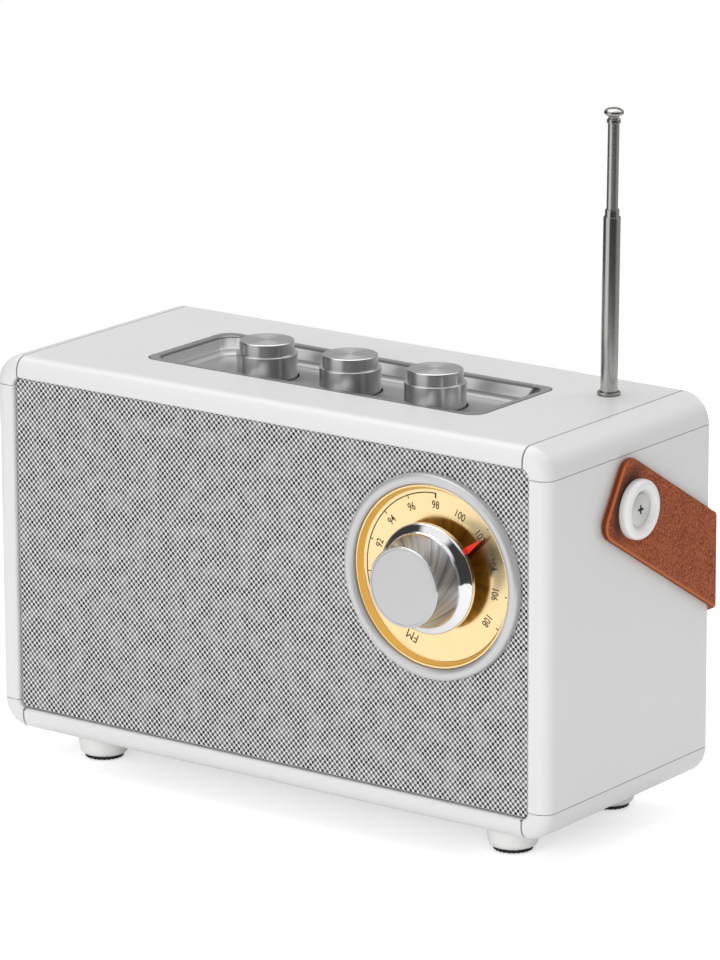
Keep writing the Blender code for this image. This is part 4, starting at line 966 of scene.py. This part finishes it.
def strap_row(rows, station, half):
    """Each row's place, way out, distance to the cut edge, press under the washer, the mask for the painted
    edge highlight, and the painted washer shadow.
    """
    from_end = station / math.cos(STRAP_SLOPE) + STRAP_END
    narrow = 0.0
    if from_end < STRAP_END_RADIUS:
        short = STRAP_END_RADIUS - from_end
        narrow = STRAP_END_RADIUS - math.sqrt(max(0, STRAP_END_RADIUS**2 - short**2))
    height, slant, spread = strap_line(station)
    made = []
    for row in rows:
        across = row * (half - narrow) / half
        to_side = half - abs(across)
        distance = min(to_side, from_end)
        if from_end < STRAP_END_RADIUS and to_side < STRAP_END_RADIUS:
            reach = math.hypot(STRAP_END_RADIUS - from_end, STRAP_END_RADIUS - to_side)
            distance = STRAP_END_RADIUS - reach
        along = station + across / spread * math.sin(slant)
        spot, out = strap_spot(along, height + across / spread * math.cos(slant))
        from_pivot = math.hypot(spot.y - PIVOT.y, spot.z - PIVOT.z)
        near = smooth_step(1 - (from_pivot - WASHER_RADIUS) / PRESS_REACH)
        # Mask for the painted highlight: every edge but the top one.
        lower_edge_glint = 1.0 if across < half * 0.7 else 0.0
        # Painted shadow of the washer: it falls off away from the washer and lies on the end side only.
        shadow_falloff = smooth_step(1.2 - (from_pivot - WASHER_RADIUS) / SHADOW_REACH)
        washer_shadow = shadow_falloff * smooth_step(-1.3 * station / WASHER_RADIUS)
        made.append((spot, out, max(distance, 0), near * WASHER_PRESS, lower_edge_glint, washer_shadow))
    return made


def make_strap():
    """One strap with cut edges, pressed in under its washers."""
    half = STRAP_WIDTH / 2
    insets = [0, 0.1, 0.3, 0.7, 1.1, 1.8, 2.6, 3.4, 4.2, 5.2, 6.6, 8.4, 10.5, 13.0]
    rows = [i * MM - half for i in insets] + [0.0] + [half - i * MM for i in reversed(insets)]
    bm = bmesh.new()
    layers = [bm.verts.layers.float.new(mark) for mark in STRAP_MARKS]
    outer, inner = [], []
    for station in strap_stations():
        columns = ([], [])
        for spot, out, distance, press, lower_edge_glint, washer_shadow in strap_row(rows, station, half):
            short = 1 - min(1, distance / STRAP_CORNER)
            thick = STRAP_THICKNESS / 2 - STRAP_CORNER * (1 - math.sqrt(max(0, 1 - short**2)))
            for column, lift in zip(columns, (thick - press, -thick)):
                vert = bm.verts.new(spot + out * lift)
                for layer, value in zip(layers, (distance, lower_edge_glint, washer_shadow)):
                    vert[layer] = value
                column.append(vert)
        outer.append(columns[0])
        inner.append(columns[1])
    strips = [*zip(outer, outer[1:]), *zip(inner, inner[1:]), (outer[0], inner[0])]
    for end in (0, -1):
        strips.append(([column[end] for column in outer], [column[end] for column in inner]))
    for first, second in strips:
        for k in range(len(first) - 1):
            bm.faces.new((first[k], first[k + 1], second[k + 1], second[k]))
    mirrored = bmesh.ops.duplicate(bm, geom=bm.verts[:] + bm.faces[:])["geom"]
    copies = [v for v in mirrored if isinstance(v, bmesh.types.BMVert)]
    bmesh.ops.scale(bm, vec=(-1, 1, 1), verts=copies)
    bmesh.ops.remove_doubles(bm, verts=bm.verts, dist=0.004 * MM)
    frames = [pivot_frame(sign, RIGHT) for sign in (-1, 1)]
    holes = [("DIFFERENCE", rod_mesh(where, STRAP_HOLE, -5 * MM, 9 * MM, 32)) for where in frames]
    dress("strap_leather", carve(mesh_of(bm), holes, LEATHER_ANGLE), [leather], "leather_strap")


def make_fixings():
    """Cup washers and cross-head screws. Heights run out of the side from the strap's face."""
    face = RIGHT + FIT + STRAP_THICKNESS
    washer = [
        (6.6, 0.7), (6.8, 1.5), (7.4, 2.75), (8.5, 3.0), (9.8, 2.75), (10.5, 1.7), (10.5, -0.65),
        (2.8, -0.65), (2.8, 0.7), (6.6, 0.7),
    ]
    washer_radii = [0.3, 0.6, 0.7, 0.8, 0.7, 0.25, 0, 0]
    screw = [(0, 1.3), (5.5, 1.28), (6.0, 1.1), (6.0, 0.75), (2.5, 0.75), (2.5, -10.4), (0, -10.4)]
    cross_length, cross_width, cross_floor = 3.2 * MM, 0.9 * MM, 0.9 * MM
    for side, sign in (("left", -1), ("right", 1)):
        matrix = pivot_frame(sign, face)
        rim = turned_mesh(rounded_profile(washer, washer_radii, 6)[:-1], 128, closed=True)
        dress(f"washer_{side}_moulded", rim, [washer_white], f"strap_washer_{side}", matrix)
        cuts = []
        for length, width in ((cross_length, cross_width), (cross_width, cross_length)):
            low = (-length / 2, -width / 2, cross_floor)
            high = (length / 2, width / 2, 4 * MM)
            cuts.append(("DIFFERENCE", box_mesh(low, high)))
        mesh = carve(turned_mesh(rounded_profile(screw, [0.8, 0.4, 0.1, 0, 0.1], 6), 96), cuts)
        # The cross recess's floor and walls are painted black: painted shade in the recess.
        for polygon in mesh.polygons:
            inside = polygon.center.to_2d().length < cross_length * 0.51
            deep = cross_floor - 0.05 * MM < polygon.center.z < 1.25 * MM
            polygon.material_index = 1 if inside and deep else 0
        dress(f"screw_{side}_turned", mesh, [screw_nickel, black_plastic], f"strap_screw_{side}", matrix)


RIB_COUNT = 24
RIB_DEPTH = 0.06
RIB_SHARPNESS = 3


def scallops(turn):
    """A pad's ribs, as a factor on its radius."""
    return 1 - RIB_DEPTH * (0.5 + 0.5 * math.tanh(RIB_SHARPNESS * math.cos(RIB_COUNT * turn)))


def make_feet():
    foot = [(0, 11.5), (9.35, 11.5), (9.3, 8), (8.6, 1.2), (0, 1.2)]
    pad = [(0, 0.9), (6.9, 0.9), (7.0, 0.7), (7.0, 0.15), (6.85, 0), (0, 0)]
    foot_profile = rounded_profile(foot, [0.2, 2, 2.4])
    pad_profile = rounded_profile(pad, [0.05] * 4, 2)
    for end in ("front", "rear"):
        for side in ("left", "right"):
            place = middle_of(f"foot_{end}_{side}")
            matrix = Matrix.Translation((place.x, place.y, 0))
            mesh = turned_mesh(foot_profile, 96)
            dress(f"foot_{end}_{side}_moulded", mesh, [foot_white], f"foot_{end}_{side}", matrix)
            mesh = turned_mesh(pad_profile, 240, ripple=scallops)
            dress(f"foot_pad_{end}_{side}_ribbed", mesh, [rubber], f"foot_pad_{end}_{side}", matrix)


def finish_inside():
    """Finishes for the solids that stay as they are."""
    by_slot = {
        "steel": steel, "black_plastic": black_plastic, "fibreboard": fibreboard, "paper": paper,
        "magnet": ferrite, "circuit_green": circuit, "battery_blue": battery_wrap,
    }
    for node, obj in frame["nodes"].items():
        if obj.hide_render:
            continue
        if not obj.material_slots:
            obj.data.materials.append(None)
        obj.material_slots[0].material = by_slot[slot_of[node]]


FLOOR_RADIUS = 0.62
FLOOR_DROP = 0.2 * MM
FLOOR_GLOW = 0.5
MIRRORED_GLOW = 0.25


def make_floor():
    """A pale round table top. The camera and mirrors see it lifted toward white."""
    bm = bmesh.new()
    bmesh.ops.create_circle(bm, cap_ends=True, segments=96, radius=FLOOR_RADIUS)
    mesh = mesh_of(bm)
    floor = placed("floor", mesh)
    floor.location.z = -FLOOR_DROP
    material = bpy.data.materials.new("floor")
    material.use_nodes = True
    shades = Shades(material.node_tree)
    shades.tree.nodes.clear()
    surface = shades.node("BsdfDiffuse", {"Color": (0.9, 0.9, 0.9)})
    rays = shades.node("LightPath").outputs
    seen = shades.math("MAXIMUM", rays["Is Camera Ray"], rays["Is Transmission Ray"])
    lift = shades.math("MULTIPLY", seen, FLOOR_GLOW)
    mirrored = shades.math("MULTIPLY", rays["Is Glossy Ray"], MIRRORED_GLOW)
    glow = shades.node("Emission", {"Strength": shades.math("ADD", lift, mirrored)})
    both = shades.node("AddShader", {0: surface.outputs[0], 1: glow.outputs[0]})
    shades.node("OutputMaterial", {"Surface": both.outputs[0]})
    mesh.materials.append(material)


FILL = 0.5
PANEL_WAY = Vector((-0.39, -0.92))
SPOT_WAY = Vector((0.35, 0.6, 0.72))
SPOT_LEVEL = 1.6


def make_world():
    """White for the camera, an even fill for light, and a studio of pale and dark walls for mirrors."""
    world = bpy.data.worlds.new("studio")
    bpy.context.scene.world = world
    world.use_nodes = True
    shades = Shades(world.node_tree)
    back = shades.tree.nodes["Background"]
    way = shades.node("TexCoord").outputs["Generated"]
    x, y, z = shades.node("SeparateXYZ", {0: way}).outputs
    level = shades.math("MAXIMUM", shades.hypot(x, y), 0.01)
    toward = shades.math("DIVIDE", shades.weighted(x, PANEL_WAY.x, y, PANEL_WAY.y), level)
    panel = shades.spread(toward, 0, 1.0, 0.855, 0.95, smooth=True)
    ceiling = shades.spread(z, 0, 1.0, 0.5, 0.85, smooth=True)
    rear = shades.spread(y, 0.05, 0.42, -0.2, 0.6, smooth=True)
    walls = shades.math("MAXIMUM", shades.math("MAXIMUM", panel, ceiling), rear)
    spot_way = shades.node("VectorMath", {0: way, 1: SPOT_WAY}, operation="DOT_PRODUCT").outputs["Value"]
    walls = shades.math("ADD", walls, shades.spread(spot_way, 0, SPOT_LEVEL, 0.93, 0.985, smooth=True))
    rays = shades.node("LightPath").outputs
    light = shades.node("Mix", {0: rays["Is Glossy Ray"], 2: FILL, 3: walls}, data_type="FLOAT").outputs[0]
    seen = shades.math("MAXIMUM", rays["Is Camera Ray"], rays["Is Transmission Ray"])
    strength = shades.node("Mix", {0: seen, 2: light, 3: 1.0}, data_type="FLOAT").outputs[0]
    shades.feed(back.inputs["Strength"], strength)
    shades.feed(back.inputs["Color"], (1, 1, 1))


LAMP_TARGET = Vector((0, 0, 0.08))


def add_lamp(name, place, size, power, mirrored=True):
    data = bpy.data.lights.new(name, "AREA")
    data.shape = "RECTANGLE"
    data.size, data.size_y = size
    data.energy = power
    lamp = placed(name, data)
    lamp.location = place
    lamp.rotation_euler = (LAMP_TARGET - Vector(place)).to_track_quat("-Z", "Y").to_euler()
    lamp.visible_glossy = mirrored


def make_light():
    add_lamp("overhead", (-0.45, 0.3, 1.9), (1.8, 1.6), 17.5)
    add_lamp("front", (0.35, -1.68, 0.5), (1.6, 0.9), 13, mirrored=False)
    add_lamp("rear_right", (0.95, 1.25, 0.75), (0.6, 0.6), 2, mirrored=False)


def make_camera():
    data = bpy.data.cameras.new("camera")
    data.lens = CAMERA_LENS
    data.sensor_width = SENSOR_WIDTH
    data.clip_end = 20
    camera = placed("camera", data)
    heading = Matrix.Rotation(CAMERA_AZIMUTH, 4, "Z")
    tilt = Matrix.Rotation(math.pi / 2 - CAMERA_ELEVATION, 4, "X")
    roll = Matrix.Rotation(CAMERA_ROLL, 4, "Z")
    camera.matrix_world = Matrix.Translation(CAMERA_PLACE) @ heading @ tilt @ roll
    bpy.context.scene.camera = camera


make_camera()
make_cabinet()
make_cloth()
make_dial()
make_tuning()
make_tray()
make_knobs()
make_aerial()
make_strap()
make_fixings()
make_feet()
finish_inside()
make_floor()
make_world()
make_light()
bpy.context.scene.view_settings.view_transform = "Standard"
